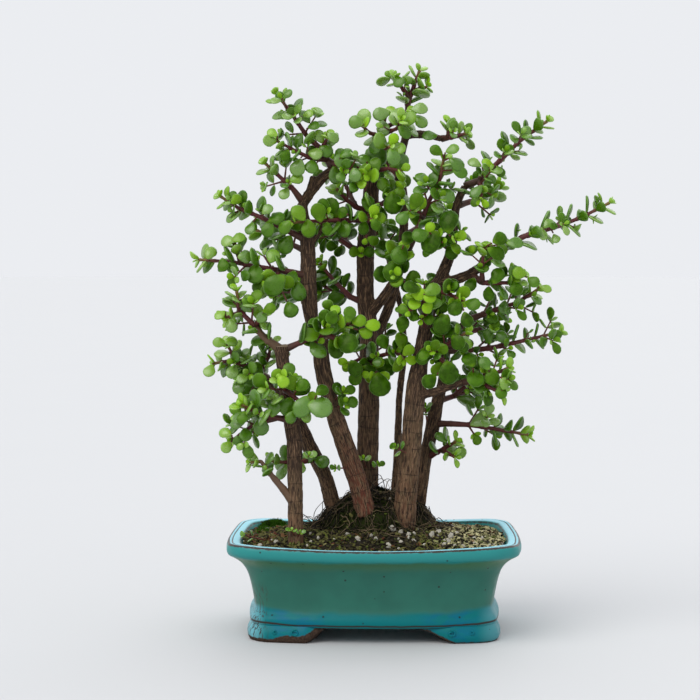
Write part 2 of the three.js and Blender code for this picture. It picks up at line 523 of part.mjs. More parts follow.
// One leafy stem: crossed pairs of leaves, counted from the tip, with side shoots on some older joints.
// Two joints in every four are planned here, and the rest are left to the finer foliage.
function planStem(points, thickness, bare, spray, seed) {
  const draw = drawsFrom(seed);
  const runs = runsOf(points, draw() * Math.PI);
  const last = runs[runs.length - 1];
  const length = last.from + last.length;
  const halfAt = (distance) => thickness * (1 - TWIG_TAPER * (distance / length));
  const runAt = (distance) => runs.findLast((run) => run.from <= distance);
  const centreAt = (distance) => {
    const run = runAt(distance);
    return run.start.clone().addScaledVector(run.heading, distance - run.from);
  };
  const joints = [];
  let spacing = TIP_SPACING;
  for (let distance = length - halfAt(length), joint = 0; distance > bare; distance -= spacing, joint += 1) {
    if (joint) spacing = Math.min(spacing * SPACING_GROWTH, WIDEST_SPACING);
    const { heading, across, third } = runAt(distance);
    const carriesShoots = draw() < spray.bush && joint > 1;
    const half = halfAt(distance);
    const items = [1, -1].map((side) => {
      const forward = 0.3 + 0.5 * draw() + (joint ? 0 : 0.3);
      const size = LEAF_LENGTH * spray.leaf * (YOUNG_SHARES[joint] ?? 1) * (0.85 + 0.3 * draw());
      const reach = SHOOT_LENGTH * (0.8 + 0.8 * draw());
      const outward = (joint % 2 ? third : across).clone().multiplyScalar(side);
      const foot = centreAt(distance).addScaledVector(outward, half);
      const directions = sideways(outward, heading, forward);
      return { face: joint % 2 ? 1 + side : 2 - side, ...(carriesShoots
        ? planShoot(foot, directions, reach, half, size * YOUNG_SHARES[1], forward)
        : planLeaf(foot, directions, size, half)) };
    });
    if (joint % KEPT_CYCLE < KEPT_JOINTS) joints.push({ distance, half, items });
  }
  const cuts = joints.flatMap(({ distance, half }) => [distance - half, distance + half]);
  const turning = runs.filter((run, i) => i && run.heading.dot(runs[i - 1].heading) < STRAIGHT_ENOUGH);
  const bends = [0, ...turning.map((run) => run.from)]
    .filter((bend) => !joints.some(({ distance, half }) => Math.abs(bend - distance) < half * 1.5));
  const distances = [...cuts, ...bends].sort((a, b) => a - b);
  const rings = distances.map((distance) => {
    const { across, third } = runAt(distance);
    const half = halfAt(distance);
    return squareRing(centreAt(distance), across, third, half, half);
  });
  const held = joints.flatMap(({ distance, half, items }) => items
    .map((item) => ({ gap: distances.indexOf(distance - half), ...item })));
  return { rings, held };
}

// Adds a four-sided tube to a mesh, from a ring of its own or from the four corners of a side it grows out of.
// Whatever a side holds grows out of that side in the same way.
function addTube(mesh, rings, held, from) {
  const addRing = (ring) => ring.map((corner) => mesh.corners.push(corner) - 1);
  const addQuad = ([a, b, c, d]) => mesh.triangles.push(a, b, c, a, c, d);
  let previous = from ?? addRing(rings[0]);
  if (!from) addQuad(previous.toReversed());
  rings.slice(from ? 0 : 1).forEach((ring, gap) => {
    const current = addRing(ring);
    for (let face = 0; face < 4; face += 1) {
      const next = (face + 1) % 4;
      const side = [previous[face], previous[next], current[next], current[face]];
      const item = held.find((other) => other.gap === gap && other.face === face);
      if (item) addTube(mesh, item.rings, item.held ?? [], side);
      else addQuad(side);
    }
    previous = current;
  });
  addQuad(previous);
}

function tubeSolid({ rings, held }) {
  const mesh = { corners: [], triangles: [] };
  addTube(mesh, rings, held, null);
  return solidOf(mesh.corners, mesh.triangles);
}

const planSpray = (spray, index) => spray.stems.map((stem, i) => planStem(stem.map(place),
  i ? SIDE_TWIG : MAIN_TWIG, i ? FORK_BARE : spray.bare, spray, index * 17 + i * 5 + 3));

// The same stem with only the leaves, or with none of them, that pass a test.
function withLeaves({ rings, held }, passes) {
  return { rings, held: held
    .filter((item) => item.held || passes(item))
    .map((item) => (item.held ? { ...item, held: item.held.filter(passes) } : item)) };
}

function boxesMeet(a, b) {
  return [0, 1, 2].every((axis) => a.min[axis] < b.max[axis] && b.min[axis] < a.max[axis]);
}

const LEAF_OWNER = -2;

// Whether a solid stays out of every listed solid that belongs to another node.
function isClear(solid, owner, others) {
  const box = solid.boundingBox();
  return others.every((other) => other.owner === owner || !boxesMeet(box, other.box)
    || solid.intersect(other.solid).isEmpty());
}

function largestBody(solid) {
  return solid.decompose().reduce((best, body) => (body.volume() > best.volume() ? body : best));
}

function makeSprays(barks) {
  const plans = SPRAYS.map(planSpray);
  const placed = [...barks];
  const twigs = plans.map((stems) => wasm.Manifold.union(stems.map((stem) => tubeSolid(withLeaves(stem, () => false)))));
  twigs.forEach((solid, owner) => placed.push({ owner, solid, box: solid.boundingBox() }));
  return SPRAYS.map(({ name }, owner) => {
    const fits = (leaf) => {
      const solid = loft([leaf.root, ...leaf.rings]);
      if (!isClear(solid, owner, placed)) return false;
      placed.push({ owner: LEAF_OWNER, solid, box: solid.boundingBox() });
      return true;
    };
    let spray = wasm.Manifold.union(plans[owner].map((stem) => tubeSolid(withLeaves(stem, fits))));
    const box = spray.boundingBox();
    for (const bark of barks) {
      if (boxesMeet(box, bark.box)) spray = spray.subtract(bark.solid);
    }
    return { name, solid: largestBody(spray) };
  });
}

// The forest
const forest = new THREE.Group();

function addNode(name, solid, look) {
  const { vertProperties, triVerts } = solid.getMesh();
  const geometry = new THREE.BufferGeometry();
  geometry.setAttribute("position", new THREE.BufferAttribute(vertProperties, 3));
  geometry.setIndex(new THREE.BufferAttribute(triVerts, 1));
  geometry.computeVertexNormals();
  const mesh = new THREE.Mesh(geometry, new THREE.MeshStandardMaterial(look));
  mesh.name = name;
  forest.add(mesh);
}

const barks = Object.values(TRUNKS).map((limbs) => {
  const solid = trunkSolid(limbs, GAP);
  return { owner: -1, solid, box: solid.boundingBox() };
});
const cutTrunksFrom = (solid) => barks.reduce((rest, bark) => rest.subtract(bark.solid), solid);

const soil = cutTrunksFrom(makeSoil(0))
  .subtract(screenPlate(-DRAIN_X, GAP))
  .subtract(screenPlate(DRAIN_X, GAP));
const raisedSoil = makeSoil(GAP);

addNode("tray", makeTray(), GLAZE);
addNode("drain_screen_left", makeScreen(-DRAIN_X), PLASTIC);
addNode("drain_screen_right", makeScreen(DRAIN_X), PLASTIC);
addNode("soil", soil, SOIL);
addNode("moss_mound", largestBody(cutTrunksFrom(mossCushion(MOUND).subtract(raisedSoil))), MOSS);
addNode("moss_patch", largestBody(mossCushion(PATCH).subtract(raisedSoil)), MOSS);
for (const [name, limbs] of Object.entries(TRUNKS)) addNode(name, trunkSolid(limbs), BARK);
for (const { name, solid } of makeSprays(barks)) addNode(name, solid, LEAF);

// The origin is on the surface that the feet stand on, under the middle of the whole forest.
const bounds = new THREE.Box3().setFromObject(forest);
forest.position.set(-(bounds.min.x + bounds.max.x) / 2, -(bounds.min.y + bounds.max.y) / 2, -bounds.min.z);

export default forest;
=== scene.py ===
"""Dwarf jade forest in a glazed tray: the finished surfaces, foliage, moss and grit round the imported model.

Everything is modelled in millimetres round the middle of the tray, +Z up and +Y away from the front,
and is moved into the model's own frame, in metres, as it is finished.
"""

import math
from collections import namedtuple

import bmesh
import bpy
import numpy as np
from mathutils import Color, Matrix, Vector, noise


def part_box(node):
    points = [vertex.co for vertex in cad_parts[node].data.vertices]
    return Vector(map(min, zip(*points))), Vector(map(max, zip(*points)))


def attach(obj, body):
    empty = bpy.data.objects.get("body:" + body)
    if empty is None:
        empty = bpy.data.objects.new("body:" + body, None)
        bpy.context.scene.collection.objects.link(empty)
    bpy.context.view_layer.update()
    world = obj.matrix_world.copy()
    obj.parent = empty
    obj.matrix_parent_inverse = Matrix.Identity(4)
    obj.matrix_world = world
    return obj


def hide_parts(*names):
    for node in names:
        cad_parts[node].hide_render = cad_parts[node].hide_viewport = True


bl_info = {
    "name": "Dwarf Jade Forest",
    "version": (1, 0, 0),
    "blender": (4, 5, 0),
    "location": "3D View > Sidebar > Forest",
    "description": "Dresses the forest planting: glazed tray, gritty soil, moss, bark and leaves",
    "category": "Add Mesh",
}

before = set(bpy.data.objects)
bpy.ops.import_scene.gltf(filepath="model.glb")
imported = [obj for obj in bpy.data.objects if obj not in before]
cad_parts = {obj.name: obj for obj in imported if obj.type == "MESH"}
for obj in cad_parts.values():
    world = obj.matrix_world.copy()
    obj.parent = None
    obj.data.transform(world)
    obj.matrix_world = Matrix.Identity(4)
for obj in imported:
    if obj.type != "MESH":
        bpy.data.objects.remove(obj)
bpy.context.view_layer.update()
TRAY_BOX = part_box("tray")

MILLIMETRE = 0.001
TO_FRAME = Matrix.Translation(((TRAY_BOX[0].x + TRAY_BOX[1].x) / 2, 0, 0)) @ Matrix.Scale(MILLIMETRE, 4)
SEAM = 1e-4

# Tray
TRAY_LENGTH = 254
TRAY_DEPTH = 195
TRAY_HEIGHT = 88.5
CORNER_RADIUS = 24
SMALLEST_CORNER = 6
CORNER_SHRINK = 0.4
LONG_SIDE_BOW = 12
SHORT_SIDE_BOW = 7
RIM_SAG = 4
SAG_STARTS_AT = 58
CORNER_STEPS = 8
LONG_SIDE_STEPS = 26
SHORT_SIDE_STEPS = 18
FLOOR_TOP = 21
CORNERS = [(1, 1), (-1, 1), (-1, -1), (1, -1)]
RIM_GROOVE = 5.2
# From under the floor, up the outer face, over the rim and down the inner face:
# [inset from the rim, height, how far the glaze breaks to brown there].
TRAY_PROFILE = [
    [60, 13.2, 0], [26, 13, 0.3], [22.2, 13.1, 0.8], [20.9, 14.2, 0.2], [20.1, 16.4, 0], [19.9, 19.2, 0],
    [20.8, 22.2, 0], [23.1, 25, 0], [24.2, 28.6, 0], [23.8, 34, 0], [22.5, 41, 0], [21.2, 48, 0],
    [19.5, 54.5, 0], [17.5, 60.5, 0], [15, 66, 0], [11.4, 70.8, 0], [7, 74.3, 0], [3.6, 76.3, 0],
    [1.3, 77.8, 0], [0.2, 80.1, 0], [0, 83, 0], [0.3, 85.9, 0.1], [1.1, 87.8, 0.6], [2, 88.5, 1],
    [2.9, 88.7, 0.4],
]
RIM_TOP = 88.8
RIM_PROFILE = [[7, 88.6, 0], [9.6, 88.4, 0], [11.4, 87.9, 0.3], [12.6, 86.6, 0.6], [13.6, 84.3, 0.2]]
INNER_PROFILE = [[15, 80.5, 0], [20, 67, 0], [26, 54, 0], [30.5, 34, 0], [33, 22.5, 0], [36, FLOOR_TOP, 0]]
FOOT_SECTION = [
    [24, 14.5], [21.4, 13.2], [20.2, 11.4], [18.4, 8.2], [17.8, 5], [18.1, 2], [19.3, 0.2],
    [23, 0], [32, 0], [36, 0.4], [37, 3], [37, 10], [36, 14.5],
]
FOOT_FINENESS = 4
# The point of that section whose outline says where a foot begins and ends.
FOOT_GUIDE = 4
# The arches between the feet: how far from the middle the foot stands and the arch is level.
Arch = namedtuple("Arch", "foot crown")
LEFT_ARCH = Arch(62, 46)
RIGHT_ARCH = Arch(75, 46)
SHORT_ARCH = Arch(46, 28)
ARCH_HEIGHT = 11.5
CLAY_HEIGHT = 2.2
CORNER_LIFT = 0.2
# Scrolls moulded on each foot's long side: [distance from the middle, height, radius, turns].
FOOT_CURLS = [[69, 9.4, 3.6, 1.2], [87, 9.4, 2.1, 0.9]]
CURL_INSET = 18.3
CURL_SIDES = 8
CURL_STEPS = 22
DRAIN_RADIUS = 9
DRAIN_SIDES = 48
DRAIN_X = 52
SCREEN_SIDE = 28
SCREEN_CELLS = 9
UNDERSIDE = 12

# Soil and moss
GAP = 0.3
SOIL_EDGE = 81.5
SOIL_RISE = 14
SOIL_INSET = 15
SOIL_RINGS = 22
# Oval patches on the soil.
Patch = namedtuple("Patch", "x y half_x half_y height")
MOUND = Patch(2, 9, 60, 50, 30)
CORNER_MOSS = Patch(-96, 60, 12, 11, 5)
LEFT_TUFTS = Patch(-104, 36, 7, 12, 1)
CORNER_TUFT_COUNT = 560
LEFT_TUFT_COUNT = 130
CUSHION_FOOT = 6
CUSHION_COLUMNS = 96
CUSHION_LEVELS = 26
DARK_SOIL = Patch(16, -62, 42, 34, 0)
PALE_SOIL_FROM = 30
PALE_SOIL_TO = 80
LITTER_TO = -70
LITTER_FADE = 25
# Large white stones on the soil: [x, y, size as a share of a usual one].
LARGE_STONES = [
    [17, -36, 2], [31, -46, 1.4], [52, -42, 1.7], [58, -30, 1.4], [2, -58, 1.3], [-14, -60, 1.2],
    [24, -64, 1.3], [66, -52, 1.3], [-24, -46, 1.1],
]
# Wiry roots that stand up in loops: [x, y, heading in turns, height of the arch].
LOOPED_ROOTS = [
    [-54, -10, 0.35, 15], [-50, -8, 0.6, 12], [-58, -6, 0.1, 9], [-46, -12, 0.45, 14], [-60, -14, 0.8, 8],
    [-6, -4, 0.1, 15], [2, -2, 0.4, 17], [10, 0, 0.2, 13], [-2, 0, 0.85, 12], [14, -6, 0.65, 9],
    [6, -8, 0.5, 10], [44, -8, 0.05, 9], [50, -14, 0.9, 8], [40, -22, 0.75, 8],
]

BATCH = 400
ROOT_BATCH = 60
ROOT_STEP = 2.3
ROOT_SIDES = 4
# Each random choice has its own seed.
SEEDS = {"stones": 301, "flakes": 302, "pumice": 303, "mound": 401, "corner_moss": 402, "left_tufts": 403,
         "roots": 404, "foliage": 505, "buds": 5003}

# Foliage: the growth rule of the model, which this script carries further
LEAF_LENGTH = 15.8
YOUNG_SHARES = [0.62, 0.84]
LIGHT = Vector((0, 0, 0.18))
TIP_SPACING = 6.5
SPACING_GROWTH = 1.13
WIDEST_SPACING = 12
KEPT_CYCLE = 5
KEPT_JOINTS = 2
MAIN_TWIG = 1.9
SIDE_TWIG = 1.6
TWIG_TAPER = 0.45
FORK_BARE = 5
SHOOT_LENGTH = 12
SHOOT_SHARE = 0.6
# What this script adds to it
FOOT_SWELL = 1.7
TIP_SWELL = 1.25
AGED_GROWTH = 0.04
BUD_SHARE = 0.5
BUD_SHARES = {
    "top_left": 0.7, "left_upper": 0.8, "right_mid": 1, "front_left_low": 0.9, "left_mid": 0.8,
    "stump_front": 0.7, "stump_left": 0.7, "right_long": 0.75, "right_top": 0.65, "front_right": 0.9,
    "inner_right_low": 1, "right_front_low": 0.85, "crown": 0.05, "crown_low": 0.1, "right_arm": 0.25,
    "right_low_arm": 0.2, "right_foot": 0.1, "right_foot_inner": 0.2, "centre_low": 0.3,
    "centre_tall": 0.35, "cross": 0.2, "left_long": 0.35, "inner_top": 0.1, "inner_left": 0.3,
    "inner_left_top": 0.15, "inner_left_high": 0.25, "inner_front": 0.3, "inner_right": 0.9,
}
SHARED_TURN = 0.7
FREE_TURN = 1.3
SLENDER_TURN = 0.35
# Leaf shapes: [width as a share of the length, how far it is cupped, how far its tip bends].
ROUND_LEAVES = [[0.86, 0.12, -0.08], [0.78, 0.3, 0.06], [0.9, -0.12, -0.14], [0.74, 0.42, -0.04],
                [0.82, -0.22, -0.2], [0.8, 0.2, 0.12]]
SLENDER_LEAVES = [[0.68, 0.2, -0.1], [0.74, 0.3, -0.16], [0.78, 0.1, 0.04], [0.64, 0.3, 0.08]]
FACING_GAP = 9
STALK_GAP = 1.5
CARRIER_SPOTS = 40
FIRST_CARRIER = 6
LEAF_TRIES = 4
TWIG_MATERIAL = 1
# Leaves far from here, in x and z, catch the most light.
CROWN_MIDDLE = [15, 300]
CROSSING_SHARE = 0.35
LEAF_REACH = 0.52
DISC_SHARE = 0.44
TWIG_SIDES = 8
STALK_SIDES = 6
LIMB_SIDES = 20
LIMB_STEP = 4

# The trunks and stems below are listed as [x, y, z] or [x, y, z, radius]. Their x and z are read on the
# upright plane through the middle of the tray, from the eye below, and y is how far behind it they stand.
# Their z and the eye's are counted from a level line this high above the ground.
LEVEL_LINE = 6.5
EYE = Vector((21, -2069.5, 363.5))
LENS_MM = 116.6
LOOK_DOWN = math.radians(3.18)
LOOK_LEFT = math.radians(1.2)
FLOOR_RADIUS_METRES = 14

# Seven trunks: the first limb of each is its stem, from the foot in the soil to the top.
TRUNKS = {
    "front_left": [
        [[-71, -58, 44, 7.4], [-72, -58, 72, 7], [-73, -57, 136, 6.9], [-74, -55, 169, 7.2],
         [-80, -52, 207, 6.5], [-84, -50, 240, 6], [-85, -50, 253, 7.8]],
    ],
    "rear_left": [
        [[-26, 6, 60, 8.6], [-38, 8, 106, 7.6], [-47, 12, 136, 6.9], [-60, 16, 160, 7.2],
         [-71, 10, 186, 5.8], [-88, -5, 205, 4.6], [-98, -15, 222, 4]],
    ],
    "left_main": [
        [[-6, -20, 55, 10.6], [-7, -20, 92, 9.8], [-15, -20, 126, 9], [-31, -20, 173, 8.5],
         [-40, -19, 202, 7.4], [-47, -18, 229, 7.8], [-50, -17, 255, 6.9], [-57, -16, 274, 6.4],
         [-60, -15, 302, 7.7], [-61, -12, 345, 6.9], [-66, -10, 373, 6], [-65, -8, 382, 4.8],
         [-58, -6, 393, 4.6], [-48, -4, 405, 4.6], [-38, -4, 413, 3.8]],
        [[-51, -17, 256, 4.4], [-42, -19, 258, 3.8]],
        [[-58, -6, 394, 4.2], [-55, -7, 407, 3.8]],
        [[-61, -12, 345, 4.4], [-53, -10, 353, 3.4], [-48, -9, 362, 3]],
    ],
    "centre": [
        [[-6, 14, 60, 11.5], [-6, 15, 116, 9.8], [-6, 16, 164, 10], [-5, 17, 202, 9.8],
         [-5, 18, 264, 8.7], [-8, 19, 293, 8], [-8, 20, 340, 8.2], [-4, 20, 377, 8],
         [-3, 20, 396, 7.4], [1, 18, 419, 5], [5, 14, 437, 3.6]],
        [[-5, 18, 280, 5], [17, 5, 309, 4.6], [26, -10, 330, 4.2], [31, -18, 341, 3.8]],
        [[-4, 18, 248, 5], [10, 32, 280, 4.8], [19, 38, 307, 4.6], [26, 41, 350, 4.4], [26, 40, 390, 4.2],
         [22, 37, 403, 4], [24, 34, 423, 3.8], [28, 31, 442, 3.6], [31, 30, 460, 3.2]],
        [[28, 31, 444, 3.8], [44, 19, 445, 3.8], [61, 9, 441, 3]],
    ],
    "right_front": [
        [[27, -20, 55, 11.4], [28, -20, 97, 10.4], [30, -21, 126, 9.9], [33, -22, 155, 9.5],
         [38, -24, 211, 9.2], [42, -25, 240, 7.6], [46, -26, 262, 6.9], [53, -24, 299, 6.4],
         [60, -21, 314, 5.6], [69, -18, 336, 5], [72, -14, 363, 4.4], [75, -12, 382, 3.8],
         [82, -10, 398, 3.2]],
        [[56, -23, 307, 5.2], [77, -24, 314, 4.7], [89, -25, 319, 4.3], [103, -24, 330, 4]],
        [[38, -24, 207, 5], [54, -33, 210, 3.9], [81, -45, 219, 3]],
    ],
    "right_rear": [
        [[34, 18, 60, 7.6], [41, 20, 108, 6.4], [45, 21, 136, 5.8], [48, 22, 155, 6.1], [54, 22, 182, 7],
         [58, 22, 202, 5.8], [62, 20, 217, 4.8], [66, 14, 247, 4.2], [75, 8, 265, 3.6], [85, 2, 276, 3]],
    ],
    "rear_thin": [
        [[18, 40, 70, 4.6], [19, 42, 120, 3.9], [21, 46, 155, 3.6], [23, 54, 206, 3.3], [27, 60, 249, 3.1],
         [24, 66, 285, 2.9], [16, 72, 322, 2.6]],
    ],
}

# Leafy sprays. bare is the leafless length at the foot, bush the share of joints that carry side shoots,
# and leaf the leaf size as a share of the usual one. The first stem starts inside the wood that carries it,
# and the others on an earlier stem.
Spray = namedtuple("Spray", "name bare bush leaf stems")
SPRAYS = [
    Spray("top_left", 12, 0.25, 0.95, [
        [[-38, -4, 413], [-48, -8, 431], [-62, -10, 444], [-73, -12, 460], [-89, -14, 482]],
        [[-43, -6, 422], [-57, -14, 423], [-70, -20, 429], [-89, -24, 439]],
        [[-43, -6, 422], [-26, -16, 413], [-9, -24, 410]],
        [[-48, -8, 431], [-43, -14, 442]]]),
    Spray("left_upper", 12, 0.2, 0.9, [
        [[-65, -8, 383], [-74, -14, 395], [-89, -18, 409], [-100, -20, 419]]]),
    Spray("left_high", 16, 0.3, 0.95, [
        [[-61, -12, 348], [-86, -20, 361], [-102, -24, 369], [-124, -27, 378], [-141, -28, 389]]]),
    Spray("cross", 26, 0.3, 1.1, [
        [[-4, 20, 366], [-16, -4, 367], [-36, -16, 367], [-60, -27, 366], [-74, -30, 365]],
        [[-16, -4, 367], [-7, -18, 366], [-2, -28, 369]]]),
    Spray("left_long", 14, 0.35, 1.1, [
        [[-60, -14, 316], [-78, -26, 320], [-104, -34, 324], [-131, -36, 329], [-161, -33, 331]],
        [[-122, -36, 327], [-127, -38, 343]],
        [[-88, -30, 321], [-88, -40, 310]]]),
    Spray("stump_left", 12, 0.2, 0.95, [
        [[-85, -50, 248], [-101, -54, 260], [-112, -57, 273], [-124, -58, 285], [-126, -58, 303]],
        [[-122, -58, 283], [-136, -61, 278]],
        [[-110, -56, 270], [-101, -62, 280]]]),
    Spray("stump_right", 14, 0.2, 1.1, [
        [[-84, -50, 248], [-62, -56, 258], [-47, -60, 262], [-27, -62, 271]],
        [[-45, -60, 263], [-27, -66, 255]],
        [[-42, -60, 265], [-38, -68, 280]]]),
    Spray("left_mid", 10, 0.25, 1.05, [
        [[-98, -15, 222], [-114, -24, 232], [-130, -30, 239], [-147, -32, 236]],
        [[-105, -19, 226], [-97, -22, 242], [-94, -25, 256]],
        [[-126, -28, 237], [-134, -36, 252]]]),
    Spray("front_left_low", 14, 0.3, 1.05, [
        [[-76, -54, 184], [-88, -62, 186], [-103, -70, 189], [-122, -82, 198]],
        [[-90, -63, 186], [-112, -61, 179], [-130, -60, 166]]]),
    Spray("left_foot", 34, 0, 0.9, [
        [[-72, -58, 106], [-84, -60, 121], [-96, -62, 135], [-104, -63, 146], [-114, -64, 145]]]),
    Spray("left_rear_low", 34, 0.15, 0.95, [
        [[-54, 14, 150], [-64, -10, 146], [-76, -28, 145], [-95, -34, 146]]]),
    Spray("stump_front", 12, 0.2, 1.1, [
        [[-80, -52, 208], [-82, -62, 212], [-86, -76, 221]],
        [[-82, -62, 212], [-68, -70, 201], [-56, -74, 194]]]),
    Spray("centre_low", 26, 0.2, 1.1, [
        [[-5, 18, 240], [-4, -4, 239], [-14, -16, 240], [-24, -24, 235]],
        [[-4, -4, 239], [8, -18, 244], [21, -28, 247], [27, -36, 240]],
        [[-4, -4, 239], [2, -20, 226]]]),
    Spray("centre_tall", 12, 0.35, 1, [
        [[31, -18, 341], [40, -24, 360], [50, -28, 385], [59, -32, 402], [63, -34, 423]],
        [[44, -26, 370], [36, -40, 378]]]),
    Spray("apex", 10, 0.35, 0.95, [
        [[31, 30, 460], [30, 27, 472], [34, 24, 484], [41, 22, 503]],
        [[32, 26, 478], [24, 18, 488], [19, 14, 497]],
        [[34, 24, 484], [48, 20, 488]]]),
    Spray("crown", 8, 0.4, 1.15, [
        [[5, 14, 437], [8, 8, 450], [10, 4, 462]],
        [[6, 11, 443], [-4, -6, 446], [-12, -18, 453]],
        [[7, 10, 445], [20, -8, 450], [24, -20, 458]],
        [[6, 11, 443], [10, -14, 432], [14, -28, 434]],
        [[8, 8, 450], [30, 4, 462]]]),
    Spray("crown_low", 18, 0.45, 1.1, [
        [[-2, 19, 405], [-4, -2, 411], [-10, -22, 406]],
        [[-4, -2, 411], [12, -16, 414], [24, -28, 412]]]),
    Spray("top_right", 7, 0.3, 0.9, [
        [[61, 9, 441], [74, 3, 443], [84, 0, 446]],
        [[67, 6, 442], [68, 4, 455]]]),
    Spray("right_top", 12, 0.35, 0.95, [
        [[82, -10, 398], [95, -14, 403], [116, -18, 423], [131, -21, 438], [157, -24, 457]],
        [[95, -14, 403], [98, -28, 394], [96, -38, 386]]]),
    Spray("right_long", 12, 0.35, 0.9, [
        [[103, -24, 330], [120, -26, 342], [135, -28, 352], [169, -28, 362], [189, -26, 370],
         [214, -24, 383]]]),
    Spray("right_mid", 14, 0.3, 1, [
        [[88, -25, 318], [98, -34, 310], [122, -39, 310], [135, -40, 317]],
        [[98, -34, 310], [98, -44, 326], [100, -48, 342]]]),
    Spray("right_arm", 14, 0.35, 0.9, [
        [[85, 2, 276], [112, -6, 286], [130, -10, 292], [149, -12, 304]]]),
    Spray("right_low_arm", 20, 0.3, 0.9, [
        [[67, 13, 248], [95, -2, 249], [109, -8, 251], [135, -13, 257], [169, -16, 265]]]),
    Spray("right_front_low", 10, 0.35, 1.05, [
        [[81, -45, 219], [97, -49, 222], [122, -52, 232]],
        [[94, -48, 221], [106, -54, 214], [117, -54, 209]]]),
    Spray("right_foot", 24, 0.25, 1, [
        [[54, 22, 181], [70, 14, 181], [88, 8, 180], [112, 4, 176], [141, 2, 171]]]),
    Spray("right_foot_inner", 14, 0.2, 1, [
        [[48, 22, 150], [60, 12, 156], [75, 2, 165]],
        [[62, 11, 157], [74, 0, 150]]]),
    Spray("bright_front", 14, 0.45, 0.95, [
        [[47, -26, 266], [46, -46, 284], [46, -62, 296]],
        [[46, -46, 284], [36, -56, 300]]]),
    Spray("inner_left", 24, 0.2, 0.95, [
        [[-8, 19, 291], [-22, 14, 297], [-38, 8, 313], [-50, 6, 328]],
        [[-22, 14, 297], [-40, 40, 304], [-62, 54, 314]]]),
    Spray("inner_left_high", 24, 0.3, 0.95, [
        [[-8, 20, 337], [-22, 16, 343], [-38, 12, 354], [-50, 10, 364]],
        [[-22, 16, 343], [-30, 44, 354], [-38, 66, 368]]]),
    Spray("inner_left_top", 20, 0.35, 1, [
        [[-4, 20, 374], [-17, 12, 379], [-26, 8, 386], [-35, 4, 396]],
        [[-17, 12, 379], [-26, 34, 398], [-38, 46, 422]]]),
    Spray("inner_front", 14, 0.4, 1.15, [
        [[20, 2, 315], [19, -18, 322], [16, -34, 318]],
        [[19, -18, 322], [24, -32, 338]]]),
    Spray("inner_top", 18, 0.4, 1.1, [
        [[-4, 20, 380], [8, 2, 382], [19, -20, 386]],
        [[8, 2, 382], [22, -6, 396]]]),
    Spray("inner_right", 12, 0.4, 1.05, [
        [[70, -17, 341], [60, -34, 346], [52, -48, 354]],
        [[60, -34, 346], [74, -48, 350]]]),
    Spray("inner_right_low", 12, 0.35, 1, [
        [[54, -24, 302], [68, -42, 300], [78, -54, 294]]]),
    Spray("front_right", 14, 0.4, 1.05, [
        [[43, -25, 246], [56, -40, 246], [66, -52, 234]],
        [[56, -40, 246], [72, -50, 258], [84, -54, 264]]]),
    Spray("back_crown", 12, 0.4, 1, [
        [[16, 72, 322], [10, 84, 342], [2, 92, 362]],
        [[12, 80, 336], [28, 94, 350]]]),
    Spray("back_right", 14, 0.4, 1, [
        [[24, 66, 286], [46, 80, 298], [72, 88, 310]]]),
    Spray("back_left", 14, 0.4, 1, [
        [[26, 59, 244], [0, 76, 258], [-26, 86, 270]]]),
    Spray("back_high_right", 14, 0.4, 1, [
        [[26, 41, 352], [46, 58, 364], [66, 68, 378]]]),
    Spray("back_high", 12, 0.45, 1, [
        [[24, 38, 400], [16, 58, 412], [6, 70, 428]]]),
    Spray("back_left_high", 16, 0.35, 0.95, [
        [[-61, -12, 338], [-82, 14, 348], [-108, 26, 358]]]),
    Spray("back_left_mid", 16, 0.35, 0.95, [
        [[-60, -15, 298], [-78, 14, 302], [-100, 30, 306]]]),
    Spray("back_left_low", 14, 0.35, 1, [
        [[-84, -2, 201], [-104, 20, 212], [-124, 32, 222]]]),
    Spray("back_right_low", 16, 0.3, 1, [
        [[58, 22, 202], [72, 36, 206], [98, 56, 216]],
        [[72, 36, 206], [86, 28, 218], [100, 24, 229]]]),
    Spray("back_right_mid", 14, 0.35, 0.95, [
        [[72, 10, 259], [96, 32, 268], [118, 44, 278]]]),
    Spray("back_right_high", 14, 0.35, 0.95, [
        [[75, -12, 380], [94, 10, 386], [114, 22, 398]]]),
]

RED_TRUNK = "left_main"
# Trunks in the shade of the others, whose bark is painted as dark right down to the foot as a young limb's,
# as painted shade, and how young it looks there.
SHADED_TRUNKS = {"centre": 0.5, "left_main": 0.32, "right_rear": 0.4}

